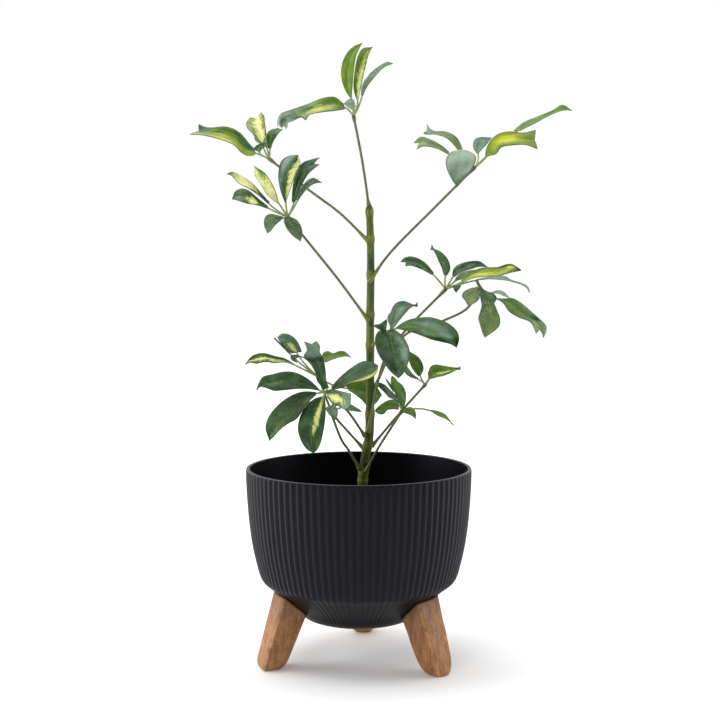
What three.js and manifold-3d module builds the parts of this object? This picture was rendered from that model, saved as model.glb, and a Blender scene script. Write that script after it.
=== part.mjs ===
import * as THREE from 'three';
import { mergeVertices } from 'three/addons/utils/BufferGeometryUtils.js';
import Module from 'manifold-3d';

// Potted schefflera in a ribbed bowl on three wooden legs. Millimetres, Z up.
// The pot's axis is the Z axis while modelling; the front of the plant faces -Y.

const wasm = await Module();
wasm.setup();

const GAP = 0.3;
const FRONT = new THREE.Vector3(0, -1, 0);
const UP = new THREE.Vector3(0, 0, 1);

// Pot: outer and inner profile as [radius, height]
const POT_OUTER = [
  [112.5, 193.3], [112.4, 191.3], [111.8, 168], [109.6, 140], [106.5, 117], [102.6, 99],
  [98.8, 84.5], [90.5, 77],
];
const BOWL_OUTER = [[90.5, 77.5], [90.5, 77], [60, 56], [53, 47], [44, 44]];
const POT_INNER = [
  [109.4, 195], [108.7, 168], [106.5, 140], [103.4, 117], [99.3, 99],
  [94.6, 85], [87, 78.2], [58, 58.1], [51, 50], [44, 48],
];
const RIBS = 96;
const RIB_DEPTH = 1.1;
const COLUMNS_PER_RIB = 2;
const INNER_COLUMNS = 48;

// Legs: the centre line leans in by LEG_LEAN for every millimetre of height
const LEG_HEADINGS = { left: 203, right: 324, back: 87 };
const LEG_RADIUS = 93;
const LEG_LEAN = 0.4;
const LEG_FOOT = 23.5;
const LEG_TOP = 31;
const LEG_TOP_HEIGHT = 80;
const LEG_CHAMFER = 2;
const FOOT_ROUND = 3;

// Screws: heads inside the bowl, square to its slope
const SCREW_RADIUS = 68.3;
const SCREW_HEIGHT = 63.5;
const SCREW_AXIS = [0.567, -0.824];
const SCREW_HEAD = 5;
const SCREW_HEAD_HEIGHT = 2.6;
const SCREW_SHANK = 2.1;
const SCREW_LENGTH = 24;
const WALL = 3.2;
const SCREW_SIDES = 12;

// Soil
const SOIL_TOP = 146;
const SOIL_FLOOR = 48 + GAP;
const SOIL_BUMP = 1.6;
const SOIL_GAP = 0.8;

// Stem: centre line as [x, z], radii and the heights of its leaf scars
const STEM_LINE = [[4, 112], [4, 180], [7, 205], [10, 222], [11, 248], [11.4, 300], [11.4, 345], [11.8, 385],
  [11.4, 419], [10, 458]];
const STEM_BASE_RADIUS = 4.9;
const STEM_TOP_RADIUS = 3.4;
const STEM_SCARS = [179, 187, 215, 246, 315, 345, 385, 420, 455];
const STEM_SCAR_RISE = 0.9;
const STEM_SCAR_SPREAD = 4;
const STEM_ROWS = 32;
const STEM_SIDES = 9;

// Leaf stalks and blades
const PETIOLE_RADIUS = 1.4;
const PETIOLE_SHEATH = 2.6;
const PETIOLE_SIDES = 6;
const PETIOLE_ROWS = 8;
const HUB_RADIUS = 2.1;
const STALK_RADIUS = 0.85;
const BLADE_EDGE = 0.7;
const BLADE_KEEL = 0.7;
const BLADE_TIP = 0.6;
const BLADE_ROWS = 7;
const BLADE_ARCH = 3;
const BLADE_WIDEST = 1.18;
const BLADE_FULLNESS = 0.85;
const BLADE_SKEW = 0.85;
const TANGENT_STEP = 0.02;

// Every compound leaf. path: from the stem to the hub. up: the way the whorl looks. stalk: bare length
// under a blade. blades: [dx, dy, dz from hub to tip, width, bow in x, bow in z, face, fold, own stalk]
// where face turns the upper side from up (0) to the front (90) and fold is the V between its halves.
const LEAVES = {
  leaf_top: {
    path: [[9, 0, 458], [2, -4, 501], [-5, -5, 539]],
    up: [-0.1, 0, 1],
    stalk: 17,
    blades: [
      [8, 10, 72, 17, -10, 0, 60, 12],
      [19, 20, 69, 13, -8, 1, 45, 16],
      [39, 24, 54, 17, -4, 8, 16, 12],
      [-12, -42, 8, 20, 0, 5, 0, 12],
      [-68, -12, -4, 21, 1, 13, 44, 8],
    ],
  },
  leaf_high_left: {
    path: [[9, 0, 420], [-18, 8, 445], [-51, 18, 470], [-90, 30, 501]],
    up: [-0.3, 0, 1],
    stalk: 14,
    blades: [
      [-79, 4, 30, 22, 0, 6, 50, 8],
      [-13, 18, 47, 20, -3, 0, 70, 16],
      [17, 20, 46, 16, -4, 1, 45, 18],
      [-14, 50, 30, 17, 0, 6, -10, 12],
    ],
  },
  leaf_mid_left: {
    path: [[9, 0, 343], [-20, -12, 380], [-47, -28, 414], [-68, -35, 440]],
    up: [-0.4, -0.2, 1],
    stalk: 15,
    blades: [
      [-58, 12, 42, 17, 2, 6, 30, 14],
      [-51, -14, 18, 20, 0, 7, 45, 12],
      [-31, 16, 47, 14, 1, 0, 50, 16],
      [10, 6, 59, 20, -8, 0, 75, 14],
      [30, 16, 55, 15, -8, 4, 50, 14],
      [32, 34, 35, 16, -6, 8, 14, 14],
      [-16, -46, -17, 18, -4, 6, 15, 12, 6],
      [15, -44, -25, 17, -1, 0, 15, 12, 6],
    ],
  },
  leaf_high_right: {
    path: [[14, 0, 382], [29, 2, 405], [77, 8, 453], [115, 12, 491]],
    up: [0.2, 0, 1],
    stalk: 14,
    blades: [
      [-22, -60, -23, 29, -5, 24, 10, 10],
      [-48, 30, 41, 18, 4, 6, 12, 14],
      [-59, 6, 23, 17, 1, 8, 22, 22],
      [22, 46, 34, 20, -3, 4, 30, 14],
      [62, -16, 23, 22, -5, 13, 48, 10],
      [100, 22, 59, 18, -5, 11, 12, 16],
    ],
  },
  leaf_mid_right: {
    path: [[13, -2, 250], [18, -2, 274], [25, 6, 299], [44, 22, 325], [88, 30, 370]],
    up: [0.2, 0, 1],
    stalk: 15,
    blades: [
      [-43, -4, 26, 19, 5, 10, 22, 14],
      [-14, 18, 43, 17, 7, 0, 12, 16],
      [48, 26, 23, 18, -4, 10, 15, 14],
      [76, -8, 20, 18, -1, 4, 36, 14],
      [88, 16, -4, 16, 2, 15, 0, 12],
      [40, 48, 20, 16, 0, 4, 0, 14],
    ],
  },
  leaf_right: {
    path: [[13, 4, 268], [46, 28, 323], [87, 40, 338], [112, 45, 351], [124, 46, 372]],
    up: [0.3, -0.1, 1],
    stalk: 9,
    blades: [
      [-15, -42, -18, 17, -2, 5, 0, 12],
      [9, -46, -12, 15, 0, 5, 20, 16],
      [5, -24, -51, 23, 6, 4, 70, 10],
      [38, 44, -22, 16, 0, 2, 10, 14],
      [67, -6, -50, 17, 4, 5, 52, 12],
    ],
  },
  leaf_front: {
    path: [[12, 0, 313], [20, -18, 322], [31, -45, 332]],
    up: [0.15, -0.2, 1],
    stalk: 4,
    blades: [
      [7, -40, -43, 31, -3, 4, 40, 6],
      [27, 24, 24, 18, -5, 6, 50, 12],
      [63, -14, -16, 24, 3, 12, 58, 8],
      [-16, -12, 4, 14, 0, 0, 30, 14],
      [10, 36, 18, 14, -2, 2, 0, 14],
    ],
  },
  leaf_low_left: {
    path: [[6, -3, 225], [-13, -30, 255], [-31, -50, 273]],
    up: [-0.2, -0.3, 1],
    stalk: 8,
    blades: [
      [-66, -4, 3, 20, -3, 10, 58, 8],
      [-53, -14, -45, 24, -9, 9, 62, 8],
      [-12, -24, -56, 27, -8, 0, 80, 8],
      [17, -42, -9, 22, 4, 4, 30, 10],
      [49, 16, 24, 20, -1, 3, 50, 10],
      [-15, 22, 47, 15, 0, 0, 65, 18],
    ],
  },
  leaf_low_left_back: {
    path: [[5, 3, 211], [-12, 8, 229], [-26, 16, 245], [-41, 26, 281]],
    up: [-0.2, 0, 1],
    stalk: 24,
    blades: [
      [-73, -4, 16, 17, 2, 9, 28, 12],
      [-41, 10, 42, 14, 3, 3, 45, 14],
      [34, 20, 18, 16, -6, 10, 22, 16, 12],
      [64, 20, -23, 20, 2, 5, 48, 10],
    ],
  },
  leaf_low_centre: {
    path: [[1, -2, 191], [-10, -2, 210], [-17, 0, 220], [-28, 0, 248]],
    up: [-0.1, 0, 1],
    stalk: 6,
    blades: [
      [31, -16, 3, 13, 0, 3, 22, 12],
      [7, -32, -2, 12, 0, 5, 0, 16],
      [-30, 20, 6, 14, 0, 4, 20, 14],
      [10, 28, 12, 11, 0, 2, 20, 14],
    ],
  },
  leaf_low_right: {
    path: [[7, -4, 189], [17, -12, 210], [25, -17, 224], [42, -26, 252]],
    up: [0.2, -0.1, 1],
    stalk: 6,
    blades: [
      [-14, 16, 32, 12, 5, 2, 55, 16],
      [-26, -12, 2, 15, 0, 4, 45, 14],
      [13, -28, -5, 12, 1, 2, 20, 14],
      [53, 8, -15, 14, 3, 10, 10, 10],
      [-21, 30, 23, 13, 1, 1, 14, 12],
    ],
  },
  leaf_low_right_back: {
    path: [[13, 0, 214], [40, 9, 245], [67, 18, 274]],
    up: [0.2, 0, 1],
    stalk: 9,
    blades: [
      [-16, 12, 32, 11, 3, 1, 50, 16],
      [-19, 26, 16, 14, 0, 1, 30, 14],
      [36, -4, 17, 16, -4, 6, 38, 20],
      [17, 36, 10, 13, 0, 5, 0, 14],
    ],
  },
};

// Solids

function toSolid(points, triangles) {
  const mesh = new wasm.Mesh({
    numProp: 3,
    vertProperties: new Float32Array(points.flatMap((p) => [p.x, p.y, p.z])),
    triVerts: new Uint32Array(triangles.flat()),
  });
  return new wasm.Manifold(mesh);
}

// Closed body through rings of equal count; the ends are fans. mirrored(j) picks the other diagonal.
function ringSolid(rings, mirrored = () => false) {
  const n = rings[0].length;
  const points = rings.flat();
  const triangles = [];
  for (let i = 0; i < rings.length - 1; i += 1) {
    for (let j = 0; j < n; j += 1) {
      const k = (j + 1) % n;
      const a = i * n + j;
      const b = i * n + k;
      const c = (i + 1) * n + k;
      const d = (i + 1) * n + j;
      triangles.push(...(mirrored(j) ? [[a, b, d], [b, c, d]] : [[a, b, c], [a, c, d]]));
    }
  }
  const middle = (ring) => ring.reduce((sum, p) => sum.add(p), new THREE.Vector3()).divideScalar(n);
  const first = points.push(middle(rings[0])) - 1;
  const last = points.push(middle(rings.at(-1))) - 1;
  for (let j = 0; j < n; j += 1) {
    const k = (j + 1) % n;
    const top = (rings.length - 1) * n;
    triangles.push([first, k, j], [last, top + j, top + k]);
  }
  return toSolid(points, volume(points, triangles) > 0 ? triangles : triangles.map(([a, b, c]) => [a, c, b]));
}

function volume(points, triangles) {
  let total = 0;
  for (const [a, b, c] of triangles) {
    total += points[a].dot(new THREE.Vector3().crossVectors(points[b], points[c]));
  }
  return total;
}

function turnedSolid(profile, columns, radiusAt = (r) => r) {
  const rings = profile.map(([r, z]) => Array.from({ length: columns }, (_, j) => {
    const angle = (2 * Math.PI * j) / columns;
    const radius = radiusAt(r, z, angle);
    return new THREE.Vector3(radius * Math.cos(angle), radius * Math.sin(angle), z);
  }));
  return ringSolid(rings);
}

function rod(from, to, radius, sides) {
  const axis = new THREE.Vector3().subVectors(to, from).normalize();
  const side = new THREE.Vector3(-axis.y, axis.x, 0).normalize();
  return ringSolid([ringAround(from, axis, side, radius, sides), ringAround(to, axis, side, radius, sides)]);
}

function ringAround(centre, axis, side, radius, sides) {
  const other = new THREE.Vector3().crossVectors(axis, side);
  return Array.from({ length: sides }, (_, j) => {
    const angle = (2 * Math.PI * j) / sides;
    return centre.clone()
      .addScaledVector(side, radius * Math.cos(angle))
      .addScaledVector(other, radius * Math.sin(angle));
  });
}

// Round body along a smooth path; radiusAt takes the share of the way.
function sweptRod(path, rows, sides, radiusAt) {
  const curve = new THREE.CatmullRomCurve3(path, false, 'centripetal');
  const side = new THREE.Vector3();
  const rings = [];
  for (let i = 0; i < rows; i += 1) {
    const share = i / (rows - 1);
    const axis = curve.getTangentAt(share);
    const start = i === 0 ? new THREE.Vector3().crossVectors(axis, FRONT) : side;
    side.copy(start.clone().addScaledVector(axis, -start.dot(axis)).normalize());
    rings.push(ringAround(curve.getPointAt(share), axis, side.clone(), radiusAt(share), sides));
  }
  return ringSolid(rings);
}

function largestPiece(solid) {
  const pieces = solid.decompose();
  return pieces.reduce((best, piece) => (piece.volume() > best.volume() ? piece : best));
}

// Pot

function potRadius(profile, z) {
  const k = profile.findIndex(([, height]) => height <= z);
  if (k <= 0) return profile[Math.max(k, 0)][0];
  const [r0, z0] = profile[k - 1];
  const [r1, z1] = profile[k];
  return r1 + ((r0 - r1) * (z - z1)) / (z0 - z1);
}

function makePotBody() {
  const ribbed = (r, z, angle) => (z > 191 || z < 77.2 ? r - RIB_DEPTH / 2
    : r - (RIB_DEPTH / 2) * (1 - Math.cos(RIBS * angle)));
  const body = turnedSolid(POT_OUTER, RIBS * COLUMNS_PER_RIB, ribbed);
  const bowl = turnedSolid(BOWL_OUTER.map(([r, z]) => [r - RIB_DEPTH / 2, z]), RIBS);
  return body.add(bowl);
}

function makeCavity(clearance = 0, top = Infinity) {
  const inside = POT_INNER.filter(([, z]) => z < top).map(([r, z]) => [r - clearance, z]);
  const rim = top === Infinity ? [] : [[potRadius(POT_INNER, top) - clearance, top]];
  return [...rim, ...inside];
}

// Screws and legs

function screwLine(heading) {
  const turn = (r, z) => new THREE.Vector3(r, 0, z).applyAxisAngle(UP, THREE.MathUtils.degToRad(heading));
  const foot = turn(SCREW_RADIUS, SCREW_HEIGHT);
  const axis = turn(SCREW_AXIS[0], SCREW_AXIS[1]);
  const at = (distance) => foot.clone().addScaledVector(axis, distance);
  return { at };
}

function makeScrew(heading, extra = 0) {
  const { at } = screwLine(heading);
  const seat = -WALL / 2 - GAP;
  const head = rod(at(seat - SCREW_HEAD_HEIGHT - extra), at(seat), SCREW_HEAD + extra, SCREW_SIDES);
  const shank = rod(at(seat - 1), at(seat + SCREW_LENGTH + extra), SCREW_SHANK + extra, SCREW_SIDES);
  return head.add(shank);
}

function makeLeg(heading, bowl, screwHole) {
  const square = (side, z, chamfer) => {
    const h = side / 2;
    const c = h - chamfer;
    const corners = [[h, -c], [h, c], [c, h], [-c, h], [-h, c], [-h, -c], [-c, -h], [c, -h]];
    const r = LEG_RADIUS - LEG_LEAN * z;
    return corners.map(([x, y]) => new THREE.Vector3(r + x, y, z)
      .applyAxisAngle(UP, THREE.MathUtils.degToRad(heading)));
  };
  const side = (z) => LEG_FOOT + ((LEG_TOP - LEG_FOOT) * z) / LEG_TOP_HEIGHT;
  const leg = ringSolid([
    square(side(0) - 2 * FOOT_ROUND, 0, LEG_CHAMFER * 1.6),
    square(side(0) - FOOT_ROUND * 0.6, FOOT_ROUND * 0.35, LEG_CHAMFER * 1.6),
    square(side(FOOT_ROUND), FOOT_ROUND, LEG_CHAMFER * 1.3),
    square(side(FOOT_ROUND * 3), FOOT_ROUND * 3, LEG_CHAMFER),
    square(LEG_TOP, LEG_TOP_HEIGHT, LEG_CHAMFER),
  ]);
  return largestPiece(leg.subtract(bowl).subtract(screwHole));
}

// Soil

function makeSoil(stemHole, screwHoles) {
  const wall = makeCavity(SOIL_GAP, SOIL_TOP - 4).filter(([, z]) => z > SOIL_FLOOR);
  const floor = [[POT_INNER.at(-1)[0] - SOIL_GAP, SOIL_FLOOR]];
  const edge = wall[0][0];
  const surface = [0.25, 0.5, 0.75, 0.94].map((share) => [edge * share, SOIL_TOP]);
  const bump = (r, angle) => SOIL_BUMP * (Math.sin(3.1 * angle + r / 9) + Math.sin(7.3 * Math.cos(angle) + r / 5)
    * Math.cos(5 * angle)) - 3.2 * (r / edge) ** 4;
  const rings = [...surface, ...wall, ...floor].map(([r, z], row) => {
    const onTop = row < surface.length;
    return Array.from({ length: INNER_COLUMNS }, (_, j) => {
      const angle = (2 * Math.PI * j) / INNER_COLUMNS;
      const height = onTop ? z + bump(r, angle) : z;
      return new THREE.Vector3(r * Math.cos(angle), r * Math.sin(angle), height);
    });
  });
  return largestPiece(ringSolid(rings).subtract(stemHole).subtract(screwHoles));
}

// Stem

function stemRadius(z, extra = 0) {
  const share = (z - STEM_LINE[0][1]) / (STEM_LINE.at(-1)[1] - STEM_LINE[0][1]);
  const plain = STEM_BASE_RADIUS + (STEM_TOP_RADIUS - STEM_BASE_RADIUS) * share;
  const scar = STEM_SCARS.reduce((sum, height) => {
    return sum + STEM_SCAR_RISE * Math.exp(-(((z - height) / STEM_SCAR_SPREAD) ** 2));
  }, 0);
  return plain + Math.min(scar, STEM_SCAR_RISE * 1.2) + extra;
}

function makeStem(extra = 0) {
  const line = new THREE.CatmullRomCurve3(STEM_LINE.map(([x, z]) => new THREE.Vector3(x, 0, z)));
  const rings = [];
  for (let i = 0; i < STEM_ROWS; i += 1) {
    const centre = line.getPointAt(i / (STEM_ROWS - 1));
    rings.push(ringAround(centre, UP, new THREE.Vector3(1, 0, 0), stemRadius(centre.z, extra), STEM_SIDES));
  }
  rings[0].forEach((p) => p.setZ(p.z - extra));
  rings.at(-1).forEach((p) => p.setZ(p.z + extra));
  return ringSolid(rings);
}

// Leaves

function bladeHalfWidth(t, width) {
  return (width / 2) * Math.sin(Math.PI * t ** BLADE_WIDEST) ** BLADE_FULLNESS;
}

function makeBlade(hub, up, stalk, [dx, dy, dz, width, bowX, bowZ, face, fold, ownStalk = stalk]) {
  const reach = new THREE.Vector3(dx, dy, dz);
  const along = reach.clone().normalize();
  const turn = THREE.MathUtils.degToRad(face);
  const vee = THREE.MathUtils.degToRad(fold);
  const top = up.clone().multiplyScalar(Math.cos(turn)).addScaledVector(FRONT, Math.sin(turn));
  top.addScaledVector(along, -top.dot(along)).normalize();
  const bow = new THREE.Vector3(bowX, BLADE_ARCH * top.y, bowZ);
  const point = (q) => hub.clone().addScaledVector(reach, q)
    .addScaledVector(bow, Math.sin(Math.PI * q ** BLADE_SKEW));
  const start = ownStalk / reach.length();
  const frameAt = (q) => {
    const last = THREE.MathUtils.clamp(q + TANGENT_STEP, 2 * TANGENT_STEP, 1);
    const tangent = point(last).sub(point(last - 2 * TANGENT_STEP)).normalize();
    const side = new THREE.Vector3().crossVectors(tangent, top).normalize();
    const normal = new THREE.Vector3().crossVectors(side, tangent);
    return (s, n) => point(q).addScaledVector(side, s).addScaledVector(normal, n);
  };
  const stalkRing = (q) => {
    const at = frameAt(q);
    const w = STALK_RADIUS;
    return [at(-w, -0.2), at(0, 0), at(w, -0.2), at(w, -1.1 * w), at(0, -1.6 * w), at(-w, -1.1 * w)];
  };
  const rings = [stalkRing(0), stalkRing(start)];
  for (let i = 1; i < BLADE_ROWS; i += 1) {
    const t = i / (BLADE_ROWS - 1);
    const half = Math.max(bladeHalfWidth(t, width), BLADE_TIP);
    const out = half * Math.cos(vee);
    const rise = half * Math.sin(vee);
    const low = rise - BLADE_EDGE;
    const at = frameAt(start + (1 - start) * t);
    rings.push([at(-out, rise), at(0, 0), at(out, rise), at(out, low),
      at(0, -BLADE_EDGE - BLADE_KEEL * (1 - t)), at(-out, low)]);
  }
  return ringSolid(rings, (j) => j >= 3);
}

function makeLeaf({ path, up, stalk, blades }, stemSpace) {
  const points = path.map((p) => new THREE.Vector3(...p));
  const hub = points.at(-1);
  const way = new THREE.Vector3(...up).normalize();
  const radiusAt = (share) => {
    const sheath = (PETIOLE_SHEATH - PETIOLE_RADIUS) * Math.max(0, 1 - share / 0.16) ** 1.5;
    return share > 0.97 ? HUB_RADIUS : PETIOLE_RADIUS + sheath;
  };
  const petiole = sweptRod(points, PETIOLE_ROWS, PETIOLE_SIDES, radiusAt);
  const whole = blades.reduce((solid, blade) => solid.add(makeBlade(hub, way, stalk, blade)), petiole);
  return largestPiece(whole.subtract(stemSpace)).simplify(0.04);
}

// Assembly

const COLOURS = {
  pot: 0x26282b,
  wood: 0x8a5a34,
  steel: 0xb8babc,
  soil: 0x2f241c,
  bark: 0x7d8452,
  foliage: 0x4c7a38,
};
const FINISHES = Object.fromEntries(Object.entries(COLOURS).map(([name, color]) => {
  const metalness = name === 'steel' ? 0.9 : 0;
  return [name, new THREE.MeshStandardMaterial({ name, color, metalness, roughness: 0.6 })];
}));

function toMesh(name, solid, finish) {
  const { vertProperties, triVerts } = solid.getMesh();
  const geometry = new THREE.BufferGeometry();
  geometry.setAttribute('position', new THREE.BufferAttribute(new Float32Array(vertProperties), 3));
  geometry.setIndex(new THREE.BufferAttribute(new Uint32Array(triVerts), 1));
  const merged = mergeVertices(geometry, 1e-5);
  merged.computeVertexNormals();
  const mesh = new THREE.Mesh(merged, FINISHES[finish]);
  mesh.name = name;
  return mesh;
}

function buildPlant() {
  const group = new THREE.Group();
  group.name = 'potted_schefflera';
  const headings = Object.entries(LEG_HEADINGS);
  const screwHoles = headings.map(([, heading]) => makeScrew(heading, GAP));
  const allHoles = screwHoles.reduce((sum, hole) => sum.add(hole));
  const potBody = makePotBody();
  const pot = potBody.subtract(turnedSolid(makeCavity(), INNER_COLUMNS)).subtract(allHoles);
  group.add(toMesh('pot', pot, 'pot'));
  const bowlSpace = turnedSolid([[92, 100], ...BOWL_OUTER.slice(1).map(([r, z]) => [r, z - GAP / 2])], RIBS);
  headings.forEach(([side, heading], k) => {
    group.add(toMesh(`leg_${side}`, makeLeg(heading, bowlSpace, screwHoles[k]), 'wood'));
    group.add(toMesh(`screw_${side}`, makeScrew(heading), 'steel'));
  });
  const stemSpace = makeStem(GAP);
  group.add(toMesh('soil', makeSoil(stemSpace, allHoles), 'soil'));
  group.add(toMesh('stem', makeStem(), 'bark'));
  for (const [name, leaf] of Object.entries(LEAVES)) {
    group.add(toMesh(name, makeLeaf(leaf, stemSpace), 'foliage'));
  }
  const box = new THREE.Box3().setFromObject(group);
  const centre = box.getCenter(new THREE.Vector3());
  group.children.forEach((mesh) => mesh.geometry.translate(-centre.x, -centre.y, -box.min.z));
  return group;
}

export default buildPlant();
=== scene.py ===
import math

import bmesh
import bpy
import numpy as np
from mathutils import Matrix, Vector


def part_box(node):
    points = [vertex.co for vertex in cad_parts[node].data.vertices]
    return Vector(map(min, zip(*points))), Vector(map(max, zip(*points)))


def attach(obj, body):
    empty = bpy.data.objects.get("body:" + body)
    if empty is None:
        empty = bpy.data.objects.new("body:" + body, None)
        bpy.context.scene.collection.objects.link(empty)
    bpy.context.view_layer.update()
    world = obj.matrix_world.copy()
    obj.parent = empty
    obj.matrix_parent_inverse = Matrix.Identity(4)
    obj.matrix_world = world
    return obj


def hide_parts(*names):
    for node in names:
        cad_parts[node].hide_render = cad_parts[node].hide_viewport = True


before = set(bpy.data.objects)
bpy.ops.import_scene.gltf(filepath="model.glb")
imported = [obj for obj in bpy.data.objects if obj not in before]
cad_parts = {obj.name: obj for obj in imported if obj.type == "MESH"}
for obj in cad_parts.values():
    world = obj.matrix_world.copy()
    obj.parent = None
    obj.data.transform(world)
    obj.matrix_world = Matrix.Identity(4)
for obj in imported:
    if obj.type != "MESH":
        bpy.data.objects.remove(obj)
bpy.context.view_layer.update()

MM = 0.001
TURN = 2 * math.pi
POT_LOW, POT_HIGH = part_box("pot")
AXIS = np.array([(POT_LOW[0] + POT_HIGH[0]) / 2, (POT_LOW[1] + POT_HIGH[1]) / 2, 0])
FRONT = np.array([0.0, -1.0, 0.0])

# The camera of the photograph, from the pot's axis, in metres and degrees, and the picture's side in pixels
CAMERA_OFFSET = (0.0012, -1.25, 0.387)
CAMERA_PITCH = 3.97
CAMERA_LENS = 63.05
SENSOR = 36.0
PICTURE = 720

# Pot, millimetres, as (radius, height): the wall from under the rim down, the bowl under it, the inside
# of the bowl and the middle of its underside. BOWL_RIB_DEPTH: share of the ribs' depth left on the bowl.
# LIP: distance in from the rim, drop from its top and how much painted highlight it carries, from the inside
# out
RIM_RADIUS = 112.5
RIM_HEIGHT = 193.3
RIM_BAND = 0.8
RIM_EDGE = 1.0
RIB_START = 1.6
WALL = 3.2
LIP = [(3.2, 0.9, 0.1), (3.1, 0.45, 0.4), (2.8, 0.2, 1.0), (2.5, 0.22, 0.2), (1.6, 0.5, 0.0),
       (0.7, 0.22, 0.2), (0.4, 0.2, 1.0), (0.1, 0.4, 0.5), (0.0, 0.8, 0.0)]
RIBS = 96
RIB_DEPTH = 1.1
RIB_SHARPNESS = 0.8
COLUMNS_PER_RIB = 8
POT_WALL = [(112.4, 182), (111.8, 168), (109.6, 140), (106.5, 117), (102.6, 99), (98.8, 85.5), (96.2, 81),
            (90.5, 76.5)]
POT_BOWL = [(90.5, 76.5), (77, 65), (67, 56), (61, 49.2), (56, 44.6), (49, 42)]
POT_INSIDE = [(86.5, 78.6), (58, 58.1), (51, 50.5), (44, 48), (10, 48)]
POT_UNDERSIDE = (10, 42)
POT_WALL_ROWS = 34
POT_BOWL_ROWS = 16
INSIDE_WALL_FOOT = 84
BOWL_RIB_DEPTH = 0.4
BOWL_RIB_TOP = 78
BOWL_RIB_EASE = 3
RIB_END = (43, 50)

# Legs, millimetres and degrees. LEG_CORNER and FOOT_DISC_RADIUS are shares of the width, FOOT_SHARE and
# LEG_SHARES of the height; FOOT_DISC_SHARES: how far each foot is worn to a disc; LEG_EDGE: where the pale
# edges (wear and painted highlight) begin and end, as the product of the two places in a unit square
LEG_HEADINGS = {"left": 203, "right": 324, "back": 87}
LEG_TWISTS = {"left": 0, "right": -7, "back": 0}
LEG_RADIUS = 95
LEG_LEAN = 0.36
LEG_FOOT = 24
LEG_WIDENING = 0.125
LEG_CORNER = 0.12
LEG_STEPS = 6
LEG_ROWS = 30
LEG_TOP = 80
LEG_TOP_RADIUS = 97
LEG_TOP_ROUNDS = 30
LEG_EDGE = (0.209, 0.217)
LEG_DENTS = (0.12, 0.1)
LEG_GAP = 0.3
FOOT_ROWS = 9
FOOT_SHARE = 0.12
LEG_SHARES = (0.14, 1)
FOOT_ROUND_HEIGHT = 10
FOOT_ROUND_INSET = 5
FOOT_DISC_RADIUS = 0.56
FOOT_DISC_SHARES = {"left": 0.15, "right": 0.75, "back": 0.4}
FOOT_DISC_HEIGHT = 18

# Soil, millimetres; SOIL_CALM: radii between which the bumps begin, SOIL_SKIRT: (radius, height) down the
# pot's inside
SOIL_TOP = 146
SOIL_EDGE = 104
SOIL_BUMP = 1.6
SOIL_SAG = 3.2
SOIL_GRAIN = 0.55
SOIL_COLUMNS = 120
SOIL_ROWS = 44
SOIL_CALM = (4, 14)
SOIL_SKIRT = [(104.5, 139), (101.5, 117), (97.5, 99), (92.6, 85), (84.5, 78), (56, 58.6), (49, 50.6),
              (42, 48.4)]
CRUMBS = 520
CRUMB_SIZES = (0.8, 2.6)
CRUMB_SIDES = 6
CRUMB_LEVELS = (-0.9, -0.3, 0.4, 0.95)
CRUMB_ROUGHNESS = (0.75, 1.2)
CRUMB_FLATNESS = 0.7
CRUMB_LIFT = 0.3
CRUMB_MARGIN = 6

# Stem, millimetres: centre line as (x, height) and the heights of its leaf scars
STEM_LINE = [(4, 112), (4, 180), (7, 205), (10, 222), (11, 248), (11.4, 300), (11.4, 345), (11.8, 385),
             (11.4, 419), (10, 458)]
STEM_BASE_RADIUS = 4.9
STEM_TOP_RADIUS = 3.4
STEM_SCARS = [179, 187, 215, 246, 315, 345, 385, 420, 446]
STEM_SCAR_RISE = 0.9
STEM_SCAR_LENGTH = 4
STEM_RING_RISE = 0.25
STEM_RING_UP = 1.5
STEM_RING_LENGTH = 0.7
STEM_ROWS = 260
STEM_SIDES = 28
STEM_TAPER = 9
STEM_RIDGES = (0.03, 0.015)

# Leaf stalks and blades, millimetres and degrees. SHEATH_SHARE and HUB_SHARES are shares of the long stalk,
# BLADE_WIDEST, BLADE_EASE and FRAYS of the blade's length, widths and BLADE_CURL of half its width;
# VEINS: pairs in a BLADE_LENGTH; HUB_DOME: (rise, radius)
PETIOLE_RADIUS = 1.25
PETIOLE_SHEATH = 2.6
SHEATH_SHARE = 0.16
PETIOLE_ROWS = 60
PETIOLE_SIDES = 12
HUB_RADIUS = 2.1
HUB_SHARES = (0.93, 0.99)
HUB_DOME = [(0, 2.1), (0.9, 1.9), (1.6, 1.2), (1.9, 0.3)]
STALK_RADIUS = 0.8
STALK_FLARE = 1.3
STALK_BEND = 0.45
STALK_ROWS = 13
STALK_SIDES = 8
BLADE_EDGE = 0.55
BLADE_KEEL = 0.7
KEEL_WIDTH = 0.09
BLADE_WIDEST = 0.56
BLADE_BASE = 1.05
BLADE_LENGTH = 60
BLADE_FOLD = 12
BLADE_CURL = 0.1
BLADE_ARCH = -3
BLADE_ROWS = 36
BLADE_COLUMNS = 14
TIP_HALF_WIDTH = 0.3
VEINS = 12
VEIN_SLANT = 0.16
VEIN_RELIEF = 0.13
MIDRIB_GROOVE = 0.3
GROOVE_WIDTH = 0.07
BLADE_EASE = 0.12
FRAYS = (0.03, 0.02, 0.012)

# Floor and lamps, metres; DOME: brightness from front to back, LAMPS: place, size and watts
FLOOR_REACH = 6.0
DOME = {"From Min": -0.5, "From Max": 0.4, "To Min": 0.08, "To Max": 1.0}
LAMP_AIM = (0, 0, 0.3)
LAMPS = {
    "left": ((-1.6, 0.1, 0.8), 1.2, 17),
    "right": ((1.6, 0.15, 0.8), 1.2, 10),
    "top": ((-0.2, 0.1, 2.1), 1.6, 26),
    "front": ((-0.9, -1.5, 1.3), 0.8, 7),
}
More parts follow.
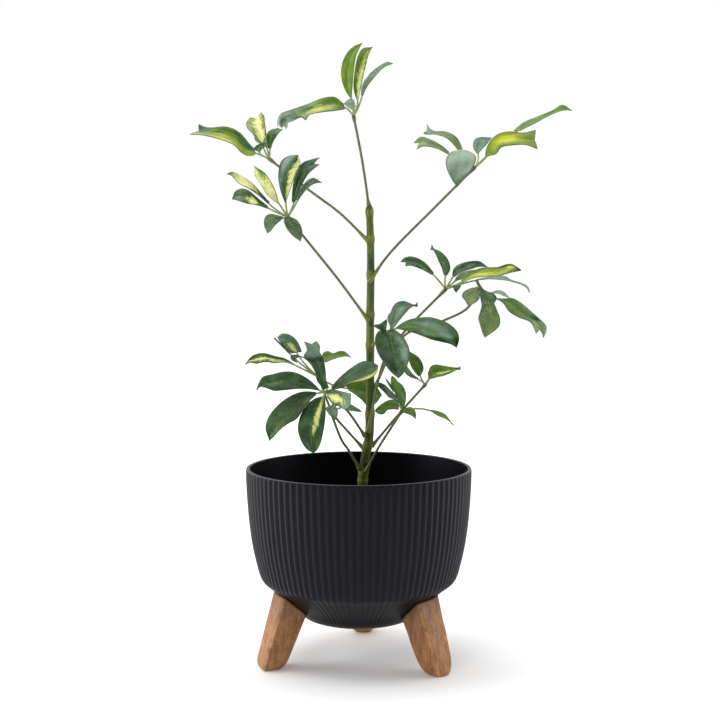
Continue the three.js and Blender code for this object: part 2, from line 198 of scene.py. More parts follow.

# What a blade looks like: tone (0 dark to 1 bright) and grey (0 green to 1 blue-grey, a painted sheen), each
# one value or several from base to tip
LOOKS = {
    "dark": dict(tone=0.15, grey=0.05),
    "plain": dict(tone=0.4),
    "bright": dict(tone=0.95),
    "deep": dict(tone=0.25),
    "moss": dict(tone=0.45, grey=-0.2),
    "light": dict(tone=0.6, grey=0.45),
    "olive": dict(tone=0.75, grey=0.05),
    "grey": dict(tone=0.25, grey=0.45),
    "pale": dict(tone=0.4, grey=0.95),
    "dull_olive": dict(tone=0.65, grey=0.35),
    "dull_grey_tip": dict(tone=(0.65, 0.65, 0.3), grey=(0.3, 0.3, 0.7)),
    "pale_then_dark": dict(tone=(0.5, 0.4, 0.3, 0.2, 0.1), grey=(1.1, 1.3, 0.9, 0.3, -0.4)),
    "dark_tip": dict(tone=(0.7, 0.6, 0.1), grey=(0, 0, 0.2)),
    "grey_tip": dict(tone=(0.8, 0.8, 0.7, 0.3), grey=(-0.2, -0.2, 0.4, 0.9)),
    "pale_tip": dict(tone=(0.1, 0.1, 0.0, 0.1), grey=(0.0, 0.0, 0.05, 0.5, 0.6)),
    "glossy": dict(tone=(0.45, 0.3, 0.1), grey=(0.0, 0.25, 0.1)),
}
PLAIN_MARKS = dict(tip="whole", cut=0.1, yellow=0.2, cream=[], gloss=[], dark=[], fresh=[])


def blade(look, deep, turn, first, second, **marks):
    """A blade that the camera sees. deep: how far back its tip lies from the hub, millimetres. turn: about
    its own length, degrees (the second edge comes nearer). first, second: its edges from base to tip, in
    pixels of the photograph. Marks: tip and how deep it is cut, how yellow the cream is, and
    areas as (place along, place across, length, width, strength)."""
    return dict(PLAIN_MARKS, look=look, deep=deep, turn=turn, first=first, second=second, **marks)


def hidden_blade(look, **marks):
    """A blade behind others, millimetres and degrees. reach: from the hub to its tip. bow: in x and z. face:
    how far it turns to the front. up: the way its whorl looks. stalk: bare length at its base."""
    return dict(PLAIN_MARKS, look=look, **marks)


# Every compound leaf: its path from the stem to the hub, millimetres from the pot's axis, and its blades
LEAVES = {
    "leaf_top": ([(9.9, -0.5, 447), (8.5, -1, 462), (2.5, -4, 501), (-5, -5, 539)], [
        blade("bright", 10, 30, [(350.5, 98.5), (345.5, 91), (341.5, 79), (341.5, 66), (346, 54.5),
            (354, 46), (362, 43)], [(351.5, 98.5), (352.5, 83), (353.7, 70), (356, 56), (359.5, 48),
            (362, 43)]),
        blade("olive", 20, 35, [(356.5, 100), (353.5, 89), (354.5, 72), (358, 55.5), (362.5, 48.5),
            (372.3, 47)], [(358, 100), (361, 86), (365, 68), (368.5, 55), (372.3, 47)],
            cream=[(0.3, 0.45, 0.4, 0.75)], yellow=0.3, fresh=[(0.7, 0.2, 0.3, 1, 0.3)]),
        blade("grey", 24, 65, [(360.5, 95), (362, 85), (370.5, 73), (382, 64), (387.5, 61.7),
            (392.7, 63.3)], [(362.5, 96), (366, 88), (375, 76), (384.5, 66.7), (392.7, 63.5)]),
        blade("pale", -20, 40, [(352.5, 110), (348, 107.5), (343.8, 104)], [(356, 107), (353.5, 100),
            (349.5, 99.5), (343.8, 104)]),
        blade("grey_tip", -12, 40, [(344, 104), (335, 97), (322, 98), (310, 103), (300, 106.5), (290, 110),
            (281, 113.5), (277.5, 121), (277.5, 128)], [(345, 109), (336, 110.5), (322, 112), (309, 115),
            (305.5, 120), (302, 117), (292, 121), (287.5, 123), (287.7, 130)], tip="frayed",
            cream=[(0.36, 0.45, 0.2, 0.5, 0.7), (0.36, -0.1, 0.1, 0.12)], yellow=0.7,
            gloss=[(0.42, -0.5, 0.1, 0.4, 0.9)], dark=[(0.74, 0.3, 0.12, 0.8, 0.9),
            (0.92, 0.1, 0.09, 0.8, 0.8)])]),
    "leaf_high_left": ([(10, -2.5, 417), (-18, 6, 445), (-51, 18, 470), (-90, 30, 501)], [
        blade("dark_tip", 4, 35, [(255, 149.5), (249, 143), (241, 133.5), (233.5, 128.6), (225, 126.4),
            (214, 127.3), (206, 127), (198.8, 124)], [(255.5, 154.5), (249, 156), (242, 153), (234, 145),
            (225, 141), (214, 137.7), (202, 135), (189.7, 134.3)], tip="fork", cut=0.07,
            cream=[(0.5, 0.9, 0.5, 0.5, 0.35), (0.12, 0.9, 0.12, 0.15)], yellow=0.8,
            fresh=[(0.7, -0.2, 0.4, 0.7, 0.3)], dark=[(0.62, 0, 0.1, 0.3, 0.5),
            (0.08, -0.2, 0.28, 0.9, 0.5), (0.45, -0.6, 0.3, 0.3, 0.3)]),
        blade("olive", 18, 30, [(259.3, 143.3), (252, 133.5), (247, 128), (246.3, 123), (249.7, 117.5)],
            [(264, 141.7), (266, 133), (264.5, 122.5), (264, 116), (261, 112)], tip="fork", cut=0.14,
            cream=[(0.4, 0.15, 0.75, 0.6)], yellow=0.1, gloss=[(0.75, -0.8, 0.5, 0.8, 1),
            (0.6, 0.9, 0.6, 0.4, 0.6)]),
        blade("plain", 20, 35, [(268, 148.5), (266.6, 140), (267.5, 132.5), (271.5, 129.5), (277, 128)],
            [(270.8, 148.5), (272.3, 143.5), (275.5, 137.5), (279.5, 132), (283, 129)]),
        blade("dark", -8, 20, [(256, 151), (254, 148), (258, 144.5), (264.5, 142)], [(260, 152), (263, 148),
            (266, 144), (264.5, 142)]),
        hidden_blade("plain", reach=(-14, 50, 30), width=17, bow=(0, 6), face=-10, fold=12, up=(-0.3, 0, 1),
            stalk=14)]),
    "leaf_mid_left": ([(10, -2.5, 339), (-20, -12, 380), (-47, -28, 414), (-68, -35, 440)], [
        blade("dark", 12, 50, [(270, 202.5), (261.7, 193.3), (252, 182.7), (242, 176.3), (232.3, 171.7),
            (227, 173.7)], [(268, 203.5), (258, 194.7), (248, 188), (239, 183.3), (231.7, 175.7),
            (227, 173.7)], cream=[(0.6, 0.1, 0.25, 1.2)], dark=[(0.98, 0, 0.1, 1, 0.3)]),
        blade("dark", -14, 45, [(268, 206), (258.3, 198.3), (248, 190), (241, 188.5), (235, 191.5),
            (232, 199)], [(268, 208.5), (257, 205), (247, 203.2), (238.3, 200.5), (232, 199)],
            cream=[(0.42, 0.3, 0.18, 0.6)], gloss=[(0.85, 0.3, 0.2, 0.7, 0.5)]),
        blade("olive", 16, 35, [(277, 203.3), (268, 196), (259.7, 183.3), (254.5, 174), (254.3, 166)],
            [(278.7, 202.7), (275.3, 191.3), (269.5, 179.3), (264, 172.5), (254.3, 166)],
            cream=[(0.34, 0, 0.34, 1.2), (0.6, -0.5, 0.3, 0.6), (0.85, -0.5, 0.2, 0.6)],
            dark=[(0.75, 0.7, 0.2, 0.4, 0.3)]),
        blade("dark", 6, 20, [(284.5, 202), (280.3, 190), (278.2, 175), (281, 161.7), (288, 156),
            (298.2, 154.8)], [(286, 202), (292, 184), (296, 173), (300.3, 163.5), (298.2, 154.8)],
            cream=[(0.5, 0.8, 0.52, 0.5)], gloss=[(0.8, -0.5, 0.3, 0.5, 1.5), (0.5, -0.7, 0.3, 0.4, 0.6)]),
        blade("dark", 16, 40, [(291.7, 202), (292.3, 190), (295.3, 174), (302.3, 163), (311, 159.5),
            (319.7, 157.2)], [(294.7, 202.7), (301.3, 186), (308, 174), (314, 168.5), (319.7, 164.3)],
            tip="fork", cut=0.12),
        blade("dark", 34, 60, [(296, 200), (301, 188), (307.3, 180.3), (313.5, 177.8), (321.7, 182.3)],
            [(298, 200), (305.7, 189.7), (313.7, 183.7), (321.7, 182.3)]),
        blade("dark", -46, 50, [(283, 216.5), (270, 214), (265, 217), (264.2, 226), (267.3, 233)],
            [(283, 218.5), (275, 225.3), (271, 230), (267.3, 233)]),
        blade("dark", -44, 30, [(287, 217.5), (284, 219.5), (286, 227.5), (293, 236), (300, 241)],
            [(290, 216.5), (297, 220), (301.5, 228), (302, 236), (300, 241)])]),
    "leaf_high_right": ([(10, -3.5, 377), (29, -1, 404), (77, 8, 453), (115, 12, 491)], [
        blade("pale_then_dark", -60, 15, [(459, 149.5), (451, 152), (446.5, 157.5), (446, 166), (451, 178),
            (457, 187)], [(463, 149.5), (471, 152), (476, 157), (473.5, 166), (465, 178), (457, 187)]),
        blade("dull_grey_tip", 30, 35, [(463.4, 150.7), (457, 137.5), (446, 131.5), (434, 130.6),
            (429.3, 127.5), (427.2, 123.5)], [(458.4, 150.3), (450.6, 141.2), (444.7, 137), (434, 134.2),
            (427, 134.3), (423.4, 133.5)], tip="fork", cut=0.05),
        blade("dull_olive", 6, 45, [(449.5, 152), (441, 144.8), (428.4, 138.5), (420.5, 136.8),
            (413.5, 142.7)], [(448, 154), (436.5, 148.3), (423, 146.2), (416.5, 149.2)], tip="fork",
            cut=0.13),
        blade("grey", 46, 40, [(477, 154), (473.2, 148), (474.3, 139.8), (480, 137.2), (492, 137.5)],
            [(478.4, 153), (482, 149), (487, 144), (492, 137.5)]),
        blade("bright", -16, 35, [(485, 157), (486, 149), (491, 139.8), (499, 133.5), (509.3, 131.3),
            (523, 132.5), (535.8, 129.8)], [(488, 156.2), (496, 154), (501, 147.5), (512, 145.2),
            (526, 144.8), (537.6, 148.9)], tip="fork", cut=0.03, cream=[(0.5, -0.1, 0.34, 0.7)],
            yellow=0.95, gloss=[(0.95, -0.6, 0.15, 0.6, 0.7), (0.7, 0.8, 0.4, 0.3, 0.4)]),
        blade("olive", 22, 55, [(513, 131), (523, 122.5), (538.4, 116), (553, 109.8), (562.5, 104.6),
            (571.8, 110.3)], [(520, 130.5), (533, 124), (547.5, 116.2), (559.3, 111.2), (566, 110),
            (571.8, 110.3)])]),
    "leaf_mid_right": ([(9, -4.5, 228), (14, -6, 255), (20, -4, 283), (26, 3, 301), (44, 22, 325),
        (88, 30, 370)], [
        blade("dark", -4, 45, [(434, 272.7), (426, 263.2), (418, 258.2), (409.4, 256.3), (404, 258),
            (400.3, 261.8)], [(432.5, 275), (422.5, 269.5), (414, 266.2), (409, 265.5), (405.5, 266)],
            tip="fork", cut=0.1),
        blade("dark", 18, 30, [(443.5, 275), (441.6, 268), (438, 260), (434.6, 252.3), (433.3, 250.4),
            (430, 249.9)], [(446.6, 275.5), (449.5, 271), (450, 266), (447.5, 259), (440.7, 251.8),
            (435, 249.2), (433.6, 248.4), (431.6, 244.6)]),
        blade("dark", 26, 45, [(452, 275), (453.9, 268.2), (461.6, 263.2), (472, 261), (480, 261.3),
            (487.5, 266.8)], [(453.5, 277.3), (460.7, 272.3), (470.7, 268.9), (479, 266.7), (487.5, 267)]),
        blade("dark_tip", -8, 40, [(461, 280), (468.9, 273.6), (476, 269.6), (485.3, 267.3), (497, 267),
            (510.7, 263.8), (521, 269.5)], [(461.6, 283), (472.5, 278.2), (484.4, 276.4), (499, 275.6),
            (511.6, 272.3), (521, 270.5)], cream=[(0.4, 0.35, 0.42, 0.9, 0.8), (0.82, -0.3, 0.09, 0.4)],
            yellow=0.9, dark=[(0.98, 0, 0.07, 1.2, 1), (0.66, -0.8, 0.12, 0.4, 0.6)]),
        blade("pale", 16, 70, [(476.6, 279), (489, 276.4), (505, 276), (511, 279.5), (523.5, 283.6),
            (528.5, 287), (530, 292.3)], [(478, 279.6), (489, 278.8), (505.3, 280), (512, 281.3),
            (522.5, 284.8), (527.5, 288.5), (529.5, 292.6)]),
        blade("dark", -6, 30, [(452.5, 286), (454, 290), (456.2, 292.8)], [(461, 285), (459, 289),
            (456.2, 292.8)]),
        hidden_blade("plain", reach=(40, 48, 20), width=16, bow=(0, 4), face=0, fold=14, up=(0.2, 0, 1),
            stalk=15)]),
    "leaf_right": ([(13, 4, 268), (46, 28, 323), (87, 40, 338), (112, 45, 351), (124, 46, 372)], [
        blade("light", -42, 20, [(472, 287.5), (464, 291.5), (462, 296), (465.3, 300.5), (468, 305.5)],
            [(477, 288), (480, 293.5), (479, 299), (474, 303.2), (468, 305.5)]),
        blade("dark", -46, 25, [(474.4, 280), (479, 288.2), (480.3, 298), (482, 306.8)], [(477.5, 279.3),
            (484, 289.5), (494.4, 294), (496.6, 298.2), (493.5, 303.6)], tip="fork", cut=0.02),
        blade("light", -24, 25, [(482.1, 304), (480, 312), (478.3, 318), (480, 325), (483, 334.5),
            (484.8, 337.5)], [(493.5, 302), (497, 310), (499.8, 318), (499.5, 325), (495.3, 330),
            (484.8, 337.5)]),
        blade("pale", 30, 65, [(490.7, 292.3), (494.4, 290.9), (498.9, 290.2), (503.5, 291.4),
            (509.8, 297.5)], [(492, 293.2), (497.1, 293), (500.7, 294), (504.4, 295.9), (509.8, 297.9)]),
        blade("dull_olive", -6, 40, [(496.6, 298), (504.4, 298.4), (512, 298), (519.8, 301.8), (529.8, 310),
            (538, 317.3), (546, 325.5), (546.5, 331), (543.5, 338)], [(498.5, 299.5), (503, 303),
            (509.8, 311.8), (519.8, 317.7), (529.8, 321.4), (533.5, 326.4), (536.2, 333.5)], tip="fork",
            cut=0.1, fresh=[(0.3, 0.3, 0.2, 0.6, 0.3)], dark=[(0.68, -0.5, 0.1, 0.5, 0.6)])]),
    "leaf_front": ([(12, 0, 313), (20, -18, 322), (31, -45, 332)], [
        blade("dark", -40, 20, [(388.5, 331), (379.4, 330.5), (375.5, 336), (375.3, 345), (378.1, 353.8),
            (385, 364.7), (391.3, 372.5), (398.1, 378)], [(395, 330), (401.3, 334.4), (406.3, 341.3),
            (409.4, 349.4), (409.3, 357.5), (406.6, 366.9), (402.5, 374.3), (398.1, 378)],
            gloss=[(0.5, 0.75, 0.2, 0.4, 0.7), (0.25, 0.5, 0.12, 0.3, 0.4)], dark=[(0.9, 0, 0.2, 0.8, 0.4),
            (0.5, -0.4, 0.4, 0.6, 0.3)]),
        blade("grey", 24, 25, [(390, 329), (389.5, 320), (391, 311), (395, 303.8), (402.5, 300.8),
            (410.6, 303.2), (413.8, 304.6), (415.8, 304), (417.6, 301.6)], [(392.5, 329.5), (398.1, 321.9),
            (404.4, 314.4), (410.6, 308.1), (414.3, 305.9), (416, 306.5), (418, 306.6)],
            gloss=[(0.45, 0.1, 0.25, 0.5, 0.6)], dark=[(0.95, 0, 0.12, 1.5, 0.8)]),
        blade("glossy", -14, 25, [(395, 328.1), (401.9, 323), (410.6, 319.1), (420, 317.5), (430, 317.1),
            (440, 319.7), (450, 324.4), (457.5, 331.9), (459.3, 340), (456.6, 347.6)], [(397, 328.8),
            (405, 330.6), (413.8, 332.8), (422.5, 335.9), (432.5, 339.7), (442.5, 342), (450.6, 344.1),
            (456.6, 347.6)], gloss=[(0.5, -0.3, 0.25, 0.4, 0.8), (0.72, 0.1, 0.14, 0.5, 0.7)],
            dark=[(0.97, 0.2, 0.15, 1.2, 0.5), (0.6, 0.9, 0.4, 0.3, 0.5)]),
        blade("dark", -12, 20, [(384, 331.5), (377, 328.5), (373.5, 325.5), (379.5, 323.9), (386.4, 319.1)],
            [(386, 331), (386.8, 325), (387, 321.5), (386.4, 319.1)]),
        hidden_blade("plain", reach=(10, 36, 18), width=14, bow=(-2, 2), face=0, fold=14,
            up=(0.15, -0.2, 1), stalk=4)]),
    "leaf_low_left": ([(6, -3, 225), (-13, -30, 255), (-31, -50, 273)], [
        blade("dark", -4, 30, [(320, 390), (314.2, 383.8), (305, 376.8), (295, 372.3), (285, 371.4),
            (272, 374.2), (262.5, 377), (258.5, 383.4), (256.3, 389.8)], [(320, 390.8), (310, 389),
            (297, 388.8), (285, 389.9), (274, 390.6), (266.7, 388.2), (260.5, 387), (256.3, 389.8)]),
        blade("dark", -14, 30, [(316, 392), (305, 391.3), (295, 393.7), (285, 399.3), (275, 408),
            (267.9, 418), (265.4, 428), (269.3, 440.7)], [(316.7, 394.3), (309, 401.5), (302, 411.5),
            (296.5, 418.8), (289, 423), (280, 429.7), (273, 437.5), (269.3, 440.7)]),
        blade("dark", -24, 15, [(321, 396.3), (314.2, 398.8), (306.7, 405.5), (300.8, 414.7), (297.8, 428),
            (300.8, 440.5), (306.7, 449.3), (312.7, 453)], [(325, 397), (325.8, 408), (325, 420.5),
            (323.3, 431.3), (320.8, 442.2), (316.3, 450.9), (312.7, 453)], cream=[(0.26, 0.3, 0.3, 0.24),
            (0.56, 0.22, 0.1, 0.14)], yellow=0.3),
        blade("pale_tip", -42, 30, [(327, 391), (333, 389.5), (342.5, 391.5), (350.8, 393.4)], [(327, 397),
            (332, 403.5), (340, 407.2), (346, 410), (350, 405)], tip="fork", cut=0.02,
            cream=[(0.36, 0.1, 0.32, 0.5)], yellow=0.4),
        blade("dark", 16, 35, [(331, 387), (335.8, 381.3), (342.5, 374.7), (352.5, 366.8), (362.5, 361.3),
            (371, 361.6), (378.3, 365.5)], [(333, 389.7), (343.3, 387.2), (354.2, 383), (365, 380.1),
            (373, 376.5), (377.5, 371.3), (378.3, 365.5)], cream=[(0.72, 0.85, 0.34, 0.22)], yellow=0.7,
            gloss=[(0.6, -0.5, 0.5, 0.6, 0.3)], fresh=[(0.3, 0.6, 0.35, 0.5, 0.2)]),
        blade("pale_tip", 22, 20, [(324.2, 389.7), (317, 381), (315, 372), (311, 363.5), (303.5, 356),
            (306.8, 350), (303.8, 341.3)], [(329, 388), (326.3, 381), (325.5, 371), (323.3, 358.8),
            (319.6, 351), (319.8, 346), (316.7, 341.2)], tip="fork", cut=0.05,
            dark=[(0.62, 0, 0.08, 3, 0.4)])]),
    "leaf_low_left_back": ([(5, 3, 211), (-12, 8, 229), (-26, 16, 245), (-41, 26, 281)], [
        blade("deep", -4, 40, [(294.2, 363.6), (285, 358.4), (275, 355.9), (264, 353), (256, 354),
            (250, 357.6), (245.2, 364.5)], [(294.2, 364.9), (284.2, 362.2), (275, 362.8), (265, 361.8),
            (256, 363.5), (250, 362.5), (245.2, 364.5)], cream=[(0.6, 0.1, 0.4, 0.3),
            (0.3, 0.5, 0.3, 0.2, 0.4)]),
        blade("grey", 10, 30, [(302, 352), (300, 346.3), (295, 338.4), (287.5, 334), (281, 334),
            (277.1, 337.6)], [(292, 353.4), (287.5, 349.7), (280, 341.8), (277.1, 337.6)],
            cream=[(0.2, 0.1, 0.22, 0.5)]),
        blade("dark", 4, 75, [(291.5, 353.6), (283, 345), (274.4, 337.2)], [(290.6, 354.4), (282, 346),
            (274.4, 338.4)]),
        blade("olive", 20, 40, [(321.5, 356.5), (323.5, 352.3), (328, 351), (333, 353), (339, 351),
            (345, 351.5), (351.3, 357.4)], [(325, 362.6), (331, 360), (340, 357), (347, 356.3),
            (351.3, 357.6)]),
        blade("dark", -6, 30, [(300, 355.5), (295, 354.5), (290.5, 356), (291.5, 360), (297, 362.8)],
            [(300, 356.5), (296, 358.5), (295, 360), (297.6, 362)]),
        blade("moss", 4, 30, [(346, 386), (356, 381), (366, 380), (376, 386), (382, 395)], [(348, 390),
            (355, 394.5), (362, 400), (367, 405), (375, 404), (382, 395)])]),
    "leaf_low_centre": ([(1, -2, 191), (-10, -2, 210), (-17, 0, 220), (-28, 0, 248)], [
        blade("dark", -16, 45, [(350, 403.5), (356, 407), (361.7, 411)], [(346, 409.8), (354, 411),
            (361.7, 411.8)]),
        blade("dark", -32, 30, [(329, 405.5), (325.8, 408), (328.5, 414), (334.5, 419.5)], [(334, 404.8),
            (337, 408), (337.5, 414), (335.5, 419.5)], gloss=[(0.5, 0.2, 0.3, 0.8, 0.4)]),
        hidden_blade("dark", reach=(-30, 20, 6), width=14, bow=(0, 4), face=20, fold=14, up=(-0.1, 0, 1),
            stalk=6),
        hidden_blade("plain", reach=(10, 28, 12), width=11, bow=(0, 2), face=20, fold=14, up=(-0.1, 0, 1),
            stalk=6)]),
    "leaf_low_right": ([(7, -4, 189), (17, -12, 210), (25, -17, 224), (42, -26, 252)], [
        blade("moss", 16, 30, [(400.6, 410), (398.1, 400), (393.1, 390), (390.8, 383), (391, 377.5),
            (392, 375.6)], [(403, 409), (405.5, 401), (405.6, 393), (402.5, 385.5), (397.5, 381),
            (395.3, 378), (392, 375.6)], fresh=[(0.6, -0.4, 0.3, 0.5, 0.3)]),
        blade("dark", 20, 50, [(393, 392), (388.8, 385.6), (386, 380.5), (385.3, 378)], [(395, 391),
            (391, 385), (388, 381), (385.3, 378)]),
        blade("grey", 30, 40, [(396, 400), (388.8, 397.5), (384.4, 392.5), (378, 386.5)], [(397.5, 397.5),
            (389.4, 389.4), (383.4, 384.1), (378.5, 382.5)]),
        blade("moss", -12, 35, [(399, 399.5), (390, 399.7), (382.5, 403.1), (376.9, 407.8), (374.7, 410.6)],
            [(399, 409.5), (392, 409.2), (387, 410.2), (383.8, 413.8), (378.5, 413.8), (374.7, 411)]),
        blade("moss", -28, 30, [(402.5, 409.5), (405.6, 408), (410.5, 407), (414.4, 409.4), (416.1, 414),
            (415.6, 419.1)], [(402, 412.5), (407, 413.8), (412.5, 416.3), (415.6, 419.1)]),
        blade("olive", 8, 55, [(430, 409.5), (438, 410.9), (445.6, 414.4), (450, 420), (454, 425)],
            [(430.3, 410.5), (437, 415), (446.3, 419.1), (450.5, 422.2), (454, 425.3)])]),
    "leaf_low_right_back": ([(13, 0, 214), (40, 9, 245), (67, 18, 274)], [
        blade("moss", 12, 30, [(418.5, 376.5), (413, 370), (409.4, 362.5), (408, 355), (407, 350)],
            [(421.3, 374.3), (423.4, 369.2), (422.5, 364), (419, 357.8), (414, 354), (407, 350)],
            fresh=[(0.4, -0.4, 0.3, 0.5, 0.3)]),
        blade("dark", 26, 45, [(418.5, 378), (413, 373.8), (408.5, 368), (406, 364)], [(417, 379),
            (410, 376.6), (405.5, 373), (403.5, 368.5), (406, 364)]),
        blade("olive", -4, 35, [(428.2, 378), (428.3, 373), (430.2, 367), (435, 364.4), (443, 365.6),
            (452, 367), (456, 367.4), (458.5, 367.2), (460.6, 365.8)], [(430, 379.5), (437, 377.2),
            (445, 375.2), (452, 372.2), (456.5, 370), (458.5, 369.6), (460.6, 370)],
            cream=[(0.55, 0.45, 0.4, 0.16)]),
        hidden_blade("plain", reach=(17, 36, 10), width=13, bow=(0, 5), face=0, fold=14, up=(0.2, 0, 1),
            stalk=9)]),
}


# Mesh building

class Shape:
    """Vertices in millimetres from the pot's axis, faces, and one value per vertex for each field."""

    def __init__(self, fields):
        self.points = []
        self.faces = []
        self.slots = []
        self.fields = {name: [] for name in fields}
        self.count = 0

    def add_points(self, points, **values):
        points = np.asarray(points, float).reshape(-1, 3)
        self.points.append(points)
        for name, stack in self.fields.items():
            value = np.asarray(values.get(name, 0.0), float).reshape(-1)
            stack.append(np.broadcast_to(value, (len(points),)))
        first = self.count
        self.count += len(points)
        return first

    def add_faces(self, faces, slot=0):
        self.faces.extend(faces)
        self.slots.extend([slot] * len(faces))

    def add_tube(self, rings, slot=0, **values):
        """rings: (rows, n, 3), closed around, with flat ends."""
        rows, n = rings.shape[:2]
        first = self.add_points(rings, **values)
        at = lambda i, j: first + i * n + j % n
        faces = []
        for i in range(rows - 1):
            faces += [(at(i, j), at(i, j + 1), at(i + 1, j + 1), at(i + 1, j)) for j in range(n)]
        faces.append(tuple(at(0, j) for j in reversed(range(n))))
        faces.append(tuple(at(rows - 1, j) for j in range(n)))
        self.add_faces(faces, slot)

    def add_leaf_skin(self, grids, **values):
        """A closed blade between an upper and a lower grid: (2, rows, n, 3)."""
        rows, n = grids.shape[1:3]
        first = self.add_points(grids, **values)
        upper = lambda i, j: first + i * n + j
        lower = lambda i, j: first + (rows + i) * n + j
        faces = []
        for i in range(rows - 1):
            for j in range(n - 1):
                faces.append((upper(i, j), upper(i, j + 1), upper(i + 1, j + 1), upper(i + 1, j)))
                faces.append((lower(i, j), lower(i + 1, j), lower(i + 1, j + 1), lower(i, j + 1)))
            faces.append((upper(i, 0), upper(i + 1, 0), lower(i + 1, 0), lower(i, 0)))
            faces.append((upper(i, n - 1), lower(i, n - 1), lower(i + 1, n - 1), upper(i + 1, n - 1)))
        last = rows - 1
        for j in range(n - 1):
            faces.append((upper(0, j), lower(0, j), lower(0, j + 1), upper(0, j + 1)))
            faces.append((upper(last, j), upper(last, j + 1), lower(last, j + 1), lower(last, j)))
        self.add_faces(faces)

    def to_object(self, name, materials, smooth=True):
        mesh = bpy.data.meshes.new(name)
        points = np.concatenate(self.points) * MM + AXIS
        mesh.from_pydata(points.tolist(), [], self.faces)
        for field, stack in self.fields.items():
            mesh.attributes.new(field, "FLOAT", "POINT").data.foreach_set("value", np.concatenate(stack))
        for material in materials:
            mesh.materials.append(material)
        mesh.polygons.foreach_set("material_index", self.slots)
        mesh.polygons.foreach_set("use_smooth", [smooth] * len(self.faces))
        mesh.validate()
        face_outward(mesh)
        return link_object(name, mesh)


def link_object(name, data):
    obj = bpy.data.objects.new(name, data)
    bpy.context.scene.collection.objects.link(obj)
    return obj


def face_outward(mesh):
    work = bmesh.new()
    work.from_mesh(mesh)
    bmesh.ops.recalc_face_normals(work, faces=work.faces)
    work.to_mesh(mesh)
    work.free()


def unit(v):
    return v / np.linalg.norm(v, axis=-1, keepdims=True)


def smooth_step(x, low, high):
    x = np.clip((np.asarray(x, float) - low) / (high - low), 0, 1)
    return x * x * (3 - 2 * x)


def steps_length(points):
    """Lengths of the steps from each point to the next."""
    return np.linalg.norm(np.diff(points, axis=0), axis=1)


def between(a, b, t, t0, t1):
    return (a * (t1 - t) + b * (t - t0)) / (t1 - t0)


def smooth_path(points, count):
    """A centripetal Catmull-Rom curve through the points, evenly spaced."""
    p = np.asarray(points, float)
    p = np.vstack([2 * p[0] - p[1], p, 2 * p[-1] - p[-2]])
    dense = []
    for k in range(1, len(p) - 2):
        knots = np.concatenate([[0], np.cumsum(np.sqrt(steps_length(p[k - 1:k + 3])))])
        t = np.linspace(knots[1], knots[2], 40, endpoint=k == len(p) - 3)[:, None]
        a = [between(p[k - 1 + m], p[k + m], t, knots[m], knots[m + 1]) for m in range(3)]
        b = [between(a[m], a[m + 1], t, knots[m], knots[m + 2]) for m in range(2)]
        dense.append(between(b[0], b[1], t, knots[1], knots[2]))
    dense = np.vstack(dense)
    lengths = np.concatenate([[0], np.cumsum(steps_length(dense))])
    want = np.linspace(0, lengths[-1], count)
    return np.stack([np.interp(want, lengths, dense[:, i]) for i in range(dense.shape[1])], axis=1)


def ring_angles(count):
    return np.arange(count) * TURN / count


def level_ring(radius, angles, height):
    """Points around the pot's axis."""
    flat = np.broadcast_arrays(radius * np.cos(angles), radius * np.sin(angles), height)
    return np.stack(flat, axis=1)


def tube_rings(path, radii, sides):
    """Rings square to a path, with the least turn from one to the next."""
    tangents = unit(np.gradient(path, axis=0))
    side = unit(np.cross(tangents[0], FRONT))
    rings = []
    angles = ring_angles(sides)[:, None]
    for centre, tangent, radius in zip(path, tangents, radii):
        side = unit(side - np.dot(side, tangent) * tangent)
        other = np.cross(tangent, side)
        rings.append(centre + radius * (np.cos(angles) * side + np.sin(angles) * other))
    return np.array(rings)


def profile_curve(profile, rows):
    """Evenly spaced (radius, height) points along a smooth profile."""
    return [tuple(point) for point in smooth_path(profile, rows)]


# Materials

class Signal:
    """A number in a material's graph. Signs between it and another number add math nodes."""

    def __init__(self, graph, socket):
        self.graph = graph
        self.socket = socket

    def __add__(self, other):
        return self.graph.math("ADD", self, other)

    def __sub__(self, other):
        return self.graph.math("SUBTRACT", self, other)

    def __rsub__(self, other):
        return self.graph.math("SUBTRACT", other, self)

    def __mul__(self, other):
        return self.graph.math("MULTIPLY", self, other)

    def __abs__(self):
        return self.graph.math("ABSOLUTE", self)


